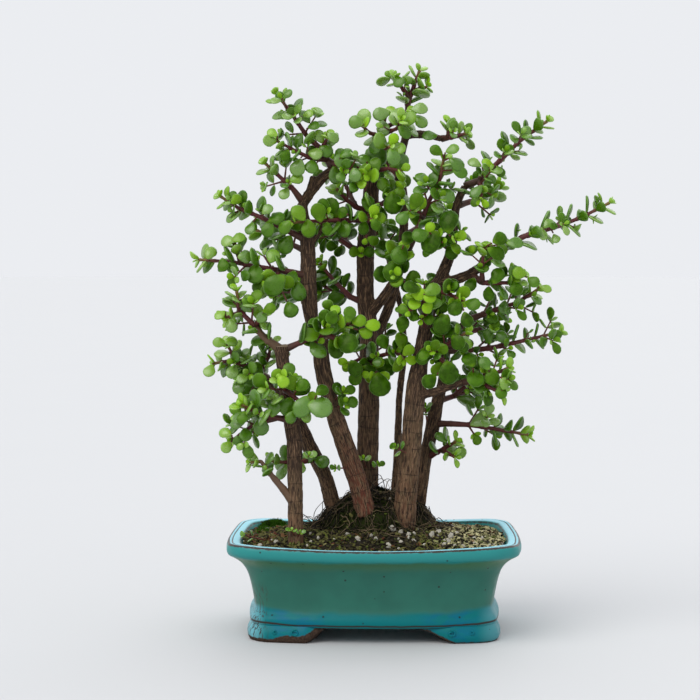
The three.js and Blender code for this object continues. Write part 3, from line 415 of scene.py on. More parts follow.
# Large leaves that show their faces to the front: by spray, [x, z, length, youth].
FACING_LEAVES = {
    "top_left": [
        [-54, 428, 14, 0.3], [-70, 415, 17, 0], [-57, 416, 15, 0.3], [-38, 442, 13, 0.4],
        [-31, 420, 16, 0.1], [-18, 408, 14, 0.2], [-55, 452, 12, 0.3], [-70, 440, 14, 0.1],
        [-96, 439, 14, 0.5], [-93, 446, 11, 0.8], [-81, 426, 12, 0.3], [-60, 463, 11, 0.7],
        [-84, 462, 13, 0.1], [-44, 430, 14, 0], [-26, 428, 13, 0.3],
    ],
    "left_upper": [[-82, 391, 13, 0.2], [-75, 394, 12, 0.4], [-71, 405, 13, 0.7]],
    "left_high": [
        [-97, 359, 17, 0], [-113, 359, 13, 0.3], [-98, 377, 12, 0.2], [-89, 369, 16, 0],
        [-126, 386, 12, 0.5], [-81, 345, 19, 0.1],
    ],
    "cross": [
        [-69, 373, 17, 0.5], [-51, 374, 18, 0.4], [-60, 359, 18, 0.3], [-82, 361, 15, 0.4],
        [-43, 359, 13, 0], [-27, 359, 17, 0], [-29, 374, 12, 0.1], [1, 363, 12, 0.1], [-10, 360, 14, 0.1],
    ],
    "left_long": [
        [-109, 318, 20, 0], [-91, 308, 25, 0], [-69, 303, 19, 0], [-75, 315, 15, 0.1], [-77, 286, 16, 0],
        [-134, 348, 14, 0.5], [-124, 350, 14, 0.6], [-93, 335, 15, 0.6], [-138, 326, 14, 0.2],
        [-150, 338, 14, 0.5], [-118, 334, 14, 0.2],
    ],
    "stump_right": [
        [-39, 278, 15, 0.3], [-23, 281, 15, 0.4], [-25, 255, 22, 0], [-2, 271, 15, 0.7],
        [-58, 262, 19, 0.5], [-14, 275, 14, 0.5], [-8, 264, 13, 0.6],
    ],
    "stump_left": [
        [-141, 280, 12, 0.6], [-131, 271, 13, 0.2], [-103, 279, 13, 0.2], [-96, 286, 13, 0.3],
        [-116, 292, 12, 0.3],
    ],
    "left_mid": [
        [-151, 229, 14, 0.5], [-142, 255, 13, 0.6], [-131, 257, 13, 0.6], [-111, 227, 25, 0.1],
        [-124, 214, 14, 0.2], [-118, 202, 13, 0.5], [-130, 228, 15, 0],
    ],
    "centre_low": [
        [5, 217, 23, 0], [17, 211, 16, 0], [-18, 232, 16, 0.2], [24, 257, 17, 0.5], [31, 248, 13, 0.6],
        [26, 242, 13, 0.5], [26, 272, 16, 0], [8, 256, 14, 0],
    ],
    "stump_front": [
        [-84, 220, 13, 0.9], [-50, 196, 24, 0], [-66, 196, 22, 0], [-66, 216, 14, 0.3], [-88, 200, 16, 0],
        [-48, 212, 13, 0.2], [-76, 218, 15, 0.5], [-76, 187, 13, 0.4],
    ],
    "front_left_low": [
        [-137, 173, 13, 0.6], [-136, 159, 13, 0.6], [-104, 178, 17, 0], [-118, 170, 15, 0.1],
        [-92, 194, 15, 0.2], [-121, 186, 13, 0.3],
    ],
    "left_rear_low": [[-72, 150, 13, 0.6], [-68, 140, 13, 0.7], [-60, 151, 15, 0], [-48, 146, 16, 0]],
    "apex": [[22, 492, 14, 0], [28, 496, 11, 0.6]],
    "crown": [
        [6, 463, 17, 0.3], [21, 462, 19, 0.4], [8, 450, 17, 0.2], [41, 468, 16, 0.3], [42, 457, 15, 0.3],
        [27, 447, 15, 0], [-17, 456, 14, 0.5], [17, 424, 18, 0], [1, 433, 15, 0],
    ],
    "crown_low": [[1, 418, 15, 0.4], [8, 408, 24, 0], [-9, 421, 15, 0.3]],
    "top_right": [[50, 443, 15, 0], [70, 454, 14, 0.1]],
    "centre_tall": [
        [75, 419, 16, 0.1], [56, 430, 13, 0.3], [71, 431, 13, 0.4], [78, 410, 14, 0], [65, 389, 19, 0],
        [38, 384, 17, 0.3], [26, 370, 15, 0],
    ],
    "right_top": [
        [91, 419, 14, 0.4], [103, 418, 13, 0.7], [114, 411, 12, 0.2], [105, 405, 14, 0.1],
        [93, 393, 16, 0],
    ],
    "right_mid": [
        [132, 319, 14, 0.6], [145, 311, 13, 0.2], [112, 316, 16, 0], [104, 300, 15, 0.1],
        [111, 337, 18, 0], [114, 350, 15, 0], [128, 346, 16, 0.1], [129, 305, 15, 0], [88, 308, 15, 0],
    ],
    "right_long": [[153, 354, 14, 0], [158, 364, 12, 0.4], [165, 350, 11, 0.3]],
    "right_front_low": [
        [108, 224, 16, 0.4], [92, 222, 21, 0], [116, 210, 13, 0.2], [87, 240, 16, 0], [119, 218, 12, 0.6],
        [101, 236, 14, 0],
    ],
    "right_foot": [[96, 184, 19, 0]],
    "right_foot_inner": [[61, 168, 14, 0.1]],
    "bright_front": [
        [40, 300, 14, 0.9], [50, 297, 14, 0.7], [48, 287, 13, 1], [37, 290, 15, 0.8], [34, 305, 17, 0.2],
        [53, 303, 16, 0.5],
    ],
    "inner_top": [[17, 384, 22, 0], [6, 372, 16, 0.1]],
    "inner_front": [[17, 321, 23, 0], [24, 337, 20, 0.1], [30, 350, 15, 0]],
    "inner_right": [[52, 347, 24, 0], [67, 366, 23, 0], [70, 338, 15, 0.1], [42, 354, 16, 0]],
    "front_right": [
        [68, 228, 22, 0], [50, 220, 17, 0], [45, 242, 18, 0], [76, 256, 16, 0], [62, 250, 13, 0.5],
    ],
    "inner_right_low": [
        [74, 288, 17, 0], [90, 290, 16, 0], [62, 272, 20, 0.2], [71, 276, 15, 0.2], [84, 276, 15, 0],
    ],
    "right_arm": [[107, 279, 15, 0], [156, 305, 12, 0.9], [118, 288, 14, 0.2]],
    "right_low_arm": [[104, 261, 15, 0], [117, 260, 15, 0.1], [76, 257, 16, 0]],
}
# The thinner sprays, each with the share of the added leaves that grows on it.
THIN_SPRAYS = {
    "crown": 0.45, "crown_low": 0.5, "inner_top": 0.4, "inner_left_top": 0.4, "cross": 0.6,
    "centre_low": 0.6, "right_arm": 0.6, "top_left": 0.7, "left_long": 0.7, "apex": 0.7,
}
# Sprays with narrow leaves, which turn less to the front and show mostly their edges.
SLENDER_SPRAYS = {"right_long", "right_foot", "right_low_arm", "right_arm", "right_foot_inner", "right_top"}
# Stems of old wood: how much thicker than a young one and how far up they keep their bark.
WOODY_SPRAYS = {"left_foot": (1.45, 1), "stump_left": (1.3, 0.55), "left_mid": (1.2, 0.5)}

# Small shoots straight out of old bark: [foot on the bark, tip, leaf size as a share of the usual one].
BARK_SHOOTS = [
    [[-66, -62, 147], [-60, -68, 151], 0.5],
    [[-74, -66, 78], [-76, -69, 82], 0.38],
    [[-70, -66, 77], [-68, -69, 80], 0.34],
    [[-36, -24, 203], [-29, -32, 209], 0.8],
    [[-34, -24, 196], [-27, -34, 199], 0.8],
    [[-27, -28, 140], [-35, -34, 140], 0.45],
    [[-8, 6, 141], [-10, -2, 148], 0.5],
    [[-2, 8, 140], [3, 0, 143], 0.45],
    [[29, -30, 154], [20, -36, 159], 0.5],
    [[48, 14, 184], [46, 6, 196], 0.55],
    [[-50, -12, 360], [-46, -18, 368], 0.6],
    [[-11, 12, 337], [-12, 2, 337], 0.8],
    [[-103, -46, 74], [-120, -50, 78], 0.4],
]


def srgb(red, green, blue):
    """A colour as it looks on screen, from 0 to 255, as the linear values that a shader takes."""
    return tuple(Color((red / 255, green / 255, blue / 255)).from_srgb_to_scene_linear())


def colour(name, description, looks):
    """A colour that a user can change."""
    return bpy.props.FloatVectorProperty(
        name=name, description=description, subtype="COLOR", size=3, min=0, max=1, default=srgb(*looks))


def number(name, description, default):
    """A length or a light's strength that a user can change."""
    return bpy.props.FloatProperty(name=name, description=description, default=default, min=0)


def amount(name, description, count):
    """A number of copies that a user can change."""
    return bpy.props.IntProperty(name=name, description=description, default=count, min=0)


class ForestTrayLooks(bpy.types.PropertyGroup):
    body_colour: colour("Body", "Glaze on the curved wall", (42, 108, 93))
    shoulder_colour: colour("Shoulder", "Olive glaze under the lip", (68, 112, 82))
    lip_colour: colour("Lip", "Glaze on the lip", (36, 132, 130))
    rim_colour: colour("Rim", "Pale glaze on the flat of the rim", (140, 208, 224))
    base_colour: colour("Base", "Glaze at the base and on the feet", (0, 110, 114))
    pool_colour: colour("Pools", "Deep blue where the glaze pools at the base", (0, 104, 126))
    broken_colour: colour("Broken edge", "Brown where the glaze runs thin over an edge", (54, 44, 38))
    clay_colour: colour("Clay", "Bare clay under the feet", (74, 58, 48))
    groove_depth: number("Rim groove", "Depth of the line cut along the rim, in mm", 0.8)
    waviness: number("Waviness", "How far the hand-finished walls wander, in mm", 0.3)


class ForestGroundLooks(bpy.types.PropertyGroup):
    humus_colour: colour("Humus", "Dark soil between the grit", (26, 22, 15))
    dark_grit: colour("Dark grit", "Darkest flakes", (40, 34, 22))
    olive_grit: colour("Olive grit", "Commonest flakes", (98, 96, 48))
    pale_grit: colour("Pale grit", "Palest flakes", (204, 196, 150))
    pumice_colour: colour("Pumice", "White stones", (178, 174, 162))
    moss_colour: colour("Moss", "Dark moss on the mound", (33, 41, 10))
    fresh_moss: colour("Fresh moss", "Bright moss in the back corner", (66, 118, 18))
    root_colour: colour("Roots", "Dark wiry rootlets", (36, 29, 22))
    dry_root_colour: colour("Dry roots", "Palest rootlets", (116, 100, 76))
    flake_count: amount("Flakes", "Number of soil flakes", 4600)
    pumice_count: amount("Pumice", "Number of white stones", 150)
    flake_size: number("Flake size", "Length of a usual flake, in mm", 5.37)
    tuft_count: amount("Tufts", "Number of moss tufts on the mound", 2600)
    rootlet_count: amount("Rootlets", "Number of thin roots on the mound", 420)


class ForestBarkLooks(bpy.types.PropertyGroup):
    old_and_shaded_colour: colour("Old bark", "Grey brown bark low on the trunks", (106, 82, 60))
    dark_colour: colour("Cracks", "Bottom of the cracks", (38, 25, 18))
    warm_colour: colour("Upper bark", "Dark brown bark of the upper limbs", (58, 42, 30))
    red_colour: colour("Flaking bark", "Red brown bark at the foot of the main left trunk", (108, 46, 32))
    twig_colour: colour("Twigs", "Young red brown stems", (88, 30, 34))
    tip_colour: colour("Tips", "Soft stem between the newest leaves", (124, 108, 40))
    fineness: number("Fineness", "Grain size of the bark mesh, in mm", 1.25)
    crack_depth: number("Cracks", "Depth of the cracks in old bark, in mm", 0.7)


class ForestLeafLooks(bpy.types.PropertyGroup):
    # Shaded leaf: painted shade. Leaves are blended from it to the usual colour by how much light they are
    # given, so inner and downturned leaves come out darkest, with some random spread.
    old_and_shaded_colour: colour("Shaded leaf", "Oldest, darkest leaves", (32, 62, 2))
    usual_colour: colour("Leaf", "Fully grown leaves", (76, 122, 12))
    young_colour: colour("Young leaf", "Newest leaves at the tips", (138, 182, 34))
    # Leaf edge: partly the leaf's own paler rim, partly painted rim light.
    edge_and_rim_light_colour: colour("Leaf edge", "Thin rim of a leaf", (124, 162, 84))
    # Painted sheen: a whitish colour laid over the leaves given the most light.
    painted_sheen_colour: colour("Sheen", "Whitish bloom on leaves that face the light", (150, 184, 84))
    thickness: number("Thickness", "Thickness of a usual leaf, in mm", 2.7)


class ForestStageLooks(bpy.types.PropertyGroup):
    floor_colour: colour("Floor", "Plain floor", (200, 201, 203))
    room_light: number("Room light", "Light from all round", 0.92)
    key_light: number("Key light", "Soft light from the front left", 1.5)
    back_light: number("Back light", "Soft light from behind", 0.7)


LOOKS = {
    "forest_tray": ForestTrayLooks,
    "forest_ground": ForestGroundLooks,
    "forest_bark": ForestBarkLooks,
    "forest_leaf": ForestLeafLooks,
    "forest_stage": ForestStageLooks,
}


# Numbers and places

def draws_from(seed):
    """A small repeatable generator of numbers from 0 to 1, the same as the model's."""
    state = (seed * 7919 + 104729) % 2147483647

    def draw():
        nonlocal state
        state = state * 16807 % 2147483647
        return state / 2147483647

    return draw


def place(point):
    """A point of the tables above, moved along the line of sight to its own depth."""
    x, y, z = point[:3]
    spread = 1 - y / EYE.y
    return Vector((EYE.x + (x - EYE.x) * spread, y, LEVEL_LINE + EYE.z + (z - EYE.z) * spread))


def ease(value):
    """0 below 0, 1 above 1, and a smooth rise between."""
    value = min(max(value, 0), 1)
    return value * value * (3 - 2 * value)


def lumps(point, size, octaves=3):
    """Smooth noise from about -1 to 1 with lumps of one size, in millimetres."""
    return noise.fractal(point / size, 1, 2, octaves)


# Meshes

def skin(rings, marks=None):
    """A closed mesh through rings with the same number of points, from a grid wrapped into a tube.
    marks holds the tone of each ring, which its material reads."""
    bm = bmesh.new()
    tone = bm.verts.layers.float_color.new("tone")
    columns = len(rings[0])
    gaps = len(rings) - 1
    bmesh.ops.create_grid(bm, x_segments=columns, y_segments=gaps, size=1)
    for vert in bm.verts:
        column = round((vert.co.x + 1) / 2 * columns) % columns
        row = round((vert.co.y + 1) / 2 * gaps)
        vert.co = rings[row][column]
        vert[tone] = marks[row] if marks else (0, 0, 0, 0)
    bmesh.ops.remove_doubles(bm, verts=bm.verts, dist=SEAM)
    bmesh.ops.holes_fill(bm, edges=bm.edges, sides=0)
    bmesh.ops.recalc_face_normals(bm, faces=bm.faces)
    return bm


def pattern_from(bm, name):
    """Turns a bmesh into a small mesh that is stamped many times."""
    mesh = bpy.data.meshes.new(name)
    bm.to_mesh(mesh)
    bm.free()
    return mesh


def stamp(bm, pattern, matrix, tone, material=0):
    """Adds a placed copy of a pattern, which sets the tone's first two values and keeps its others."""
    vert_count, face_count = len(bm.verts), len(bm.faces)
    bm.from_mesh(pattern)
    bm.verts.ensure_lookup_table()
    bm.faces.ensure_lookup_table()
    layer = bm.verts.layers.float_color["tone"]
    for vert in bm.verts[vert_count:]:
        vert.co = matrix @ vert.co
        old = vert[layer]
        vert[layer] = (tone[0], tone[1], old[2], old[3])
    for face in bm.faces[face_count:]:
        face.material_index = material
        face.smooth = True


def new_growth():
    """An empty bmesh that copies are stamped into."""
    bm = bmesh.new()
    bm.verts.layers.float_color.new("tone")
    return bm


def add_mesh(bm, part, material=0):
    """Adds all of one bmesh to another and frees it."""
    scratch = pattern_from(part, "scratch")
    face_count = len(bm.faces)
    bm.from_mesh(scratch)
    bpy.data.meshes.remove(scratch)
    bm.faces.ensure_lookup_table()
    for face in bm.faces[face_count:]:
        face.material_index = material
        face.smooth = True


def gathered(add, items, batch_size):
    """A bmesh that every item is added to, in batches, since adding to a large bmesh is slow."""
    bm = new_growth()
    batch = new_growth()
    for count, item in enumerate(items, 1):
        add(batch, *item)
        if count % batch_size == 0:
            add_mesh(bm, batch)
            batch = new_growth()
    add_mesh(bm, batch)
    return bm


def linked(name, data):
    """A new object in the scene."""
    made = bpy.data.objects.new(name, data)
    bpy.context.scene.collection.objects.link(made)
    return made


def rings_along(points, radii, sides):
    """Rings round a route, turned as little as possible from one to the next."""
    across = Vector((0, 1, 0))
    rings = []
    for index, point in enumerate(points):
        before, after = points[max(index - 1, 0)], points[min(index + 1, len(points) - 1)]
        ahead = (after - before).normalized()
        if abs(across.dot(ahead)) > 0.98:
            across = Vector((1, 0, 0))
        across = (across - ahead * across.dot(ahead)).normalized()
        third = ahead.cross(across)
        rings.append([point + radii[index] * (
            across * math.cos(math.tau * side / sides) + third * math.sin(math.tau * side / sides))
            for side in range(sides)])
    return rings


def smooth_route(limb, step):
    """A limb's points and radii, resampled along a smooth curve through them."""
    points = [place(row) for row in limb]
    radii = [row[3] for row in limb]
    ends = [2 * points[0] - points[1], *points, 2 * points[-1] - points[-2]]
    route, widths = [], []
    for i in range(len(points) - 1):
        a, b, c, d = ends[i:i + 4]
        pieces = max(1, round((c - b).length / step))
        for piece in range(pieces):
            t = piece / pieces
            route.append(0.5 * (2 * b + (c - a) * t + (2 * a - 5 * b + 4 * c - d) * t * t
                                + (3 * b - a - 3 * c + d) * t ** 3))
            widths.append(radii[i] + (radii[i + 1] - radii[i]) * ease(t))
    return route + [points[-1]], widths + [radii[-1]]


def finish_piece(name, bm, materials, stands_for=(), flat=False):
    """Moves a bmesh into the model's frame and makes it a piece that stands for its nodes of the model."""
    bmesh.ops.transform(bm, matrix=TO_FRAME, verts=bm.verts)
    mesh = pattern_from(bm, name)
    mesh.polygons.foreach_set("use_smooth", [not flat] * len(mesh.polygons))
    for material in materials:
        mesh.materials.append(material)
    piece = linked(name, mesh)
    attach(piece, "root")
    if stands_for:
        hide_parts(*stands_for)
    return piece


def with_modifiers(bm, *recipes):
    """The bmesh after some modifiers: each recipe is the kind of modifier and its settings."""
    source = linked("source", pattern_from(bm, "source"))
    for kind, settings in recipes:
        modifier = source.modifiers.new(kind, kind)
        for key, value in settings.items():
            setattr(modifier, key, value)
    graph = bpy.context.evaluated_depsgraph_get()
    result = bmesh.new()
    shaped = source.evaluated_get(graph)
    result.from_mesh(shaped.to_mesh())
    shaped.to_mesh_clear()
    mesh = source.data
    bpy.data.objects.remove(source)
    bpy.data.meshes.remove(mesh)
    return result


# Materials

class Recipe:
    """Builds one material's nodes, from its patterns to its shader."""

    def __init__(self, name):
        self.material = bpy.data.materials.new(name)
        self.material.use_nodes = True
        self.tree = self.material.node_tree
        self.shader = self.tree.nodes["Principled BSDF"]

    def add(self, kind, output=0, inputs=None, **settings):
        """One node. Its inputs are numbers, colours or the outputs of other nodes."""
        made = self.tree.nodes.new(kind)
        for key, value in settings.items():
            setattr(made, key, value)
        for key, value in (inputs or {}).items():
            if isinstance(value, bpy.types.NodeSocket):
                self.tree.links.new(value, made.inputs[key])
            else:
                made.inputs[key].default_value = value
        return made.outputs[output]

    def place(self):
        """Where a point is on the piece, in metres."""
        return self.add("ShaderNodeTexCoord", "Object")

    def attribute(self, name, output="Vector"):
        return self.add("ShaderNodeAttribute", output, attribute_name=name)

    def tone(self):
        """The four values that the mesh carries at each point."""
        split = self.add("ShaderNodeSeparateColor", inputs={"Color": self.attribute("tone", "Color")}).node
        return [*split.outputs[:3], self.attribute("tone", "Alpha")]

    def stretch(self, vector, scale):
        return self.add("ShaderNodeMapping", inputs={"Vector": vector, "Scale": scale})

    def noise(self, vector, size, detail=3, roughness=0.55):
        """Cloudy noise with lumps of one size, in millimetres."""
        return self.add("ShaderNodeTexNoise", inputs={
            "Vector": vector, "Scale": 1 / (size * MILLIMETRE), "Detail": detail, "Roughness": roughness})

    def cells(self, vector, size, output="Distance"):
        """Distance to the middle of the nearest cell, with cells of one size in millimetres."""
        return self.add("ShaderNodeTexVoronoi", output, inputs={
            "Vector": vector, "Scale": 1 / (size * MILLIMETRE)})

    def range(self, value, low, high, to_low=0.0, to_high=1.0):
        return self.add("ShaderNodeMapRange", interpolation_type="SMOOTHSTEP", inputs={
            "Value": value, "From Min": low, "From Max": high, "To Min": to_low, "To Max": to_high})

    def maths(self, operation, first, second):
        return self.add("ShaderNodeMath", operation=operation, inputs={0: first, 1: second})

    def plus(self, value, pattern, share):
        """A value and a share of a pattern."""
        return self.maths("ADD", value, self.maths("MULTIPLY", pattern, share))

    def mix(self, factor, first, second):
        """A colour between two others."""
        ends = [end if isinstance(end, bpy.types.NodeSocket) else (*end, 1) for end in (first, second)]
        return self.add("ShaderNodeMix", 2, data_type="RGBA", inputs={0: factor, 6: ends[0], 7: ends[1]})

    def layer(self, under, over, pattern, low, high, most=1.0):
        """A colour over another one where a pattern goes from low to high, and there at most by a share."""
        return self.mix(self.range(pattern, low, high, 0, most), under, over)

    def bump(self, height, strength, distance):
        """A normal from a height pattern, with its full depth in millimetres."""
        return self.add("ShaderNodeBump", inputs={
            "Height": height, "Strength": strength, "Distance": distance * MILLIMETRE})

    def finish(self, colour, roughness, normal=None, **sockets):
        """Joins the patterns to the shader, and returns the material."""
        sockets.update(Base_Color=colour, Roughness=roughness, Normal=normal)
        for key, value in sockets.items():
            socket = self.shader.inputs[key.replace("_", " ")]
            if isinstance(value, bpy.types.NodeSocket):
                self.tree.links.new(value, socket)
            elif value is not None:
                socket.default_value = value
        return self.material


def scaled(colour, share):
    """A colour that is darker or lighter by a share."""
    return tuple(part * share for part in colour)


def glaze_material(looks):
    """Running glaze: cyan on the lip and the base, olive on the shoulder, brown where it breaks over an
    edge. The tone holds the break, the height over a foot's lower edge and the height, as shares of the
    tray's."""
    recipe = Recipe("teal_glaze")
    spot = recipe.add("ShaderNodeMapping", inputs={
        "Vector": recipe.place(), "Location": (-TO_FRAME.translation.x, 0, 0)})
    broken, above, level, _ = recipe.tone()
    sides = recipe.add("ShaderNodeSeparateXYZ", inputs={"Vector": spot})
    depth = sides.node.outputs["Y"]
    across = recipe.maths("ABSOLUTE", sides, 0)
    corner = recipe.range(across, 0.06, 0.105)
    drift = recipe.noise(spot, 26, detail=2)
    wander = recipe.plus(level, drift, 0.06)

    body = recipe.layer(looks.body_colour, scaled(looks.body_colour, 0.86), drift, 0.3, 0.7)
    mixed = recipe.layer(body, looks.shoulder_colour, wander, 0.75, 0.86)
    mixed = recipe.layer(mixed, looks.lip_colour, wander, 0.87, 0.91)
    mixed = recipe.layer(mixed, looks.rim_colour, level, 0.985, 0.999)

    pools = recipe.maths("MULTIPLY", recipe.range(across, 0.034, 0.06), recipe.range(across, 0.1, 0.08))
    ripple = recipe.range(recipe.noise(recipe.stretch(spot, (1, 1, 2.4)), 17, detail=2), 0.38, 0.62)
    blue = recipe.mix(recipe.maths("MULTIPLY", pools, ripple), looks.base_colour, looks.pool_colour)
    # Painted highlight: the base band is paler towards the rounded ends, most on the left, with the rim's
    # pale glaze.
    blue = recipe.layer(blue, looks.rim_colour, sides, -0.094, -0.108, 0.5)
    blue = recipe.layer(blue, looks.rim_colour, sides, 0.09, 0.108, 0.22)
    lowered = recipe.maths("SUBTRACT", wander, recipe.maths("MULTIPLY", corner, 0.05))
    low = recipe.range(lowered, 0.355, 0.295)
    mixed = recipe.mix(low, mixed, blue)

    seam = recipe.plus(0.186, corner, 0.022)
    wavy = recipe.plus(level, recipe.noise(spot, 15, detail=2), 0.018)
    off_seam = recipe.maths("ABSOLUTE", recipe.maths("SUBTRACT", wavy, seam), 0)
    line = recipe.range(off_seam, recipe.range(corner, 0, 1, 0.0105, 0.017), 0.004)
    edges = recipe.plus(broken, recipe.noise(spot, 4, detail=3), 0.7)
    line = recipe.maths("MAXIMUM", line, recipe.range(edges, 0.68, 0.98))
    runs = recipe.range(recipe.noise(recipe.stretch(spot, (1, 1, 0.06)), 1.7, detail=2), 0.53, 0.62)
    runs = recipe.maths("MULTIPLY", runs, recipe.range(sides, -0.091, -0.098))
    runs = recipe.maths("MULTIPLY", runs, recipe.range(level, 0.62, 0.45, 0, 0.85))
    line = recipe.maths("MAXIMUM", line, runs)
    mixed = recipe.mix(line, mixed, looks.broken_colour)

    distance = recipe.cells(spot, 9)
    lot = recipe.add("ShaderNodeSeparateColor", inputs={"Color": recipe.cells(spot, 9, output="Color")})
    chosen = recipe.maths("LESS_THAN", lot, recipe.range(sides, -0.09, 0.09, 0.15, 0.6))
    pits = recipe.maths("MULTIPLY", recipe.range(distance, 0.13, 0.09), chosen)
    mixed = recipe.mix(recipe.maths("MULTIPLY", pits, 0.85), mixed, srgb(28, 30, 30))

    left, front = recipe.maths("LESS_THAN", sides, 0), recipe.maths("LESS_THAN", depth, 0)
    left_front = recipe.maths("MULTIPLY", left, front)
    bare_to = recipe.maths("MULTIPLY", left_front, recipe.range(sides, -0.094, -0.074, 0.05, 0.09))
    bare_to = recipe.maths("MAXIMUM", bare_to, CLAY_HEIGHT / TRAY_HEIGHT)
    ragged = recipe.plus(above, recipe.noise(spot, 6, detail=3), 0.05)
    clay = recipe.range(recipe.maths("SUBTRACT", ragged, bare_to), 0.022, 0.008)
    grain = recipe.noise(spot, 1.4, detail=4)
    bare = recipe.layer(looks.clay_colour, scaled(looks.clay_colour, 0.45), grain, 0.35, 0.7)
    mixed = recipe.mix(clay, mixed, bare)
    cloud = recipe.noise(spot, 9, detail=2)
    satin = recipe.range(cloud, 0.3, 0.7, 0.34, 0.46)
    rough = recipe.plus(satin, clay, 0.5)
    worn = recipe.plus(pits, line, 0.5)
    relief = recipe.maths("SUBTRACT", recipe.maths("MULTIPLY", cloud, 0.5), worn)
    gritty = recipe.maths("MULTIPLY", recipe.maths("MULTIPLY", grain, clay), 1.4)
    return recipe.finish(mixed, rough, recipe.bump(recipe.maths("ADD", relief, gritty), 0.5, 0.35),
                         Specular_IOR_Level=recipe.range(low, 0, 1, 0.28, 0.14))


def mesh_material():
    recipe = Recipe("black_mesh")
    spot = recipe.place()
    scuffs = recipe.noise(spot, 1.5)
    shade = recipe.mix(scuffs, srgb(28, 30, 32), srgb(52, 54, 56))
    return recipe.finish(shade, 0.6, recipe.bump(scuffs, 0.3, 0.2))


def humus_material(looks):
    recipe = Recipe("humus")
    spot = recipe.place()
    crumbs = recipe.cells(spot, 2.2)
    shade = recipe.layer(looks.humus_colour, looks.dark_grit, recipe.noise(spot, 5, detail=5), 0.35, 0.65)
    return recipe.finish(shade, 0.95, recipe.bump(crumbs, 0.9, 1.2), Specular_IOR_Level=0.2)


def grit_material(looks):
    """Flakes from dark to pale by their tone, each dusty and faintly mottled."""
    recipe = Recipe("grit")
    spot = recipe.place()
    paleness, chance, _, _ = recipe.tone()
    low = recipe.layer(looks.dark_grit, looks.olive_grit, paleness, 0.0, 0.45)
    shade = recipe.layer(low, looks.pale_grit, paleness, 0.45, 1.0)
    shade = recipe.layer(shade, srgb(88, 104, 34), chance, 0.8, 0.95, 0.7)
    shade = recipe.layer(shade, srgb(112, 62, 40), chance, 0.05, 0.03, 0.7)
    mottle = recipe.noise(spot, 0.9, detail=4)
    shade = recipe.layer(shade, looks.humus_colour, mottle, 0.4, 0.8, 0.45)
    return recipe.finish(shade, 0.9, recipe.bump(mottle, 0.5, 0.35), Specular_IOR_Level=0.25)


def pumice_material(looks):
    recipe = Recipe("pumice")
    spot = recipe.place()
    pores = recipe.cells(spot, 0.8)
    shade = recipe.layer(srgb(150, 140, 124), looks.pumice_colour, pores, 0.15, 0.5)
    return recipe.finish(shade, 0.95, recipe.bump(pores, 0.6, 0.4), Specular_IOR_Level=0.2)


def moss_material(name, fresh, dry):
    """Moss leaves and the cushion under them, from fresh green to dry brown by their tone."""
    recipe = Recipe(name)
    spot = recipe.place()
    dryness, chance, _, _ = recipe.tone()
    patches = recipe.noise(spot, 8, detail=4)
    patchy = recipe.maths("ADD", dryness, recipe.range(patches, 0.4, 0.7, -0.25, 0.35))
    shade = recipe.layer(fresh, dry, patchy, 0.1, 0.8)
    shade = recipe.layer(shade, scaled(fresh, 0.15), chance, 0.0, 1.0, 0.5)
    fuzz = recipe.noise(spot, 0.8, detail=5)
    return recipe.finish(shade, 0.85, recipe.bump(fuzz, 0.8, 0.8), Specular_IOR_Level=0.1)


def root_material(looks):
    recipe = Recipe("dry_root")
    spot = recipe.place()
    chance = recipe.tone()[1]
    shade = recipe.layer(looks.root_colour, looks.dry_root_colour, chance, 0.3, 0.9)
    grain = recipe.noise(spot, 0.7)
    shade = recipe.layer(shade, srgb(24, 19, 14), grain, 0.4, 0.8, 0.6)
    return recipe.finish(shade, 0.85, recipe.bump(grain, 0.5, 0.2), Specular_IOR_Level=0.25)


def bark_material(looks):
    """Bark that follows each limb: cracked grey brown when old, smoother and redder higher up."""
    recipe = Recipe("old_bark")
    grain = recipe.attribute("grain")
    youth, cut, crack, redness = recipe.tone()
    plates = recipe.noise(recipe.stretch(grain, (1, 1, 0.16)), 1.6, detail=5, roughness=0.62)
    patches = recipe.noise(recipe.stretch(grain, (1, 1, 0.5)), 9, detail=4)
    fibres = recipe.noise(recipe.stretch(grain, (1, 1, 0.07)), 0.55, detail=3)
    aged = recipe.layer(looks.old_and_shaded_colour, srgb(80, 68, 46), patches, 0.35, 0.65)
    aged = recipe.layer(aged, srgb(128, 100, 80), patches, 0.54, 0.72, 0.7)
    flakes = recipe.range(recipe.noise(recipe.stretch(grain, (1, 1, 0.3)), 3, detail=4), 0.34, 0.56)
    aged = recipe.mix(recipe.maths("MULTIPLY", redness, flakes), aged, looks.red_colour)
    shade = recipe.layer(aged, looks.warm_colour, youth, 0.1, 0.75)
    shade = recipe.layer(shade, looks.dark_colour, plates, 0.5, 0.4, 0.95)
    shade = recipe.layer(shade, looks.dark_colour, crack, 0.3, 1, 0.7)
    shade = recipe.layer(shade, srgb(150, 118, 90), fibres, 0.5, 0.64, 0.62)
    rings = recipe.noise(recipe.stretch(grain, (0.08, 0.08, 1)), 26, detail=0)
    off_ring = recipe.maths("ABSOLUTE", recipe.maths("SUBTRACT", rings, 0.52), 0)
    rings = recipe.range(off_ring, 0.012, 0.004, 0, 0.55)
    rings = recipe.maths("MULTIPLY", rings, recipe.range(patches, 0.42, 0.55))
    shade = recipe.mix(rings, shade, looks.dark_colour)
    shade = recipe.mix(cut, shade, srgb(136, 118, 98))
    height = recipe.plus(plates, fibres, 0.4)
    height = recipe.maths("SUBTRACT", height, rings)
    return recipe.finish(shade, 0.82, recipe.bump(height, 0.9, 0.9), Specular_IOR_Level=0.3)


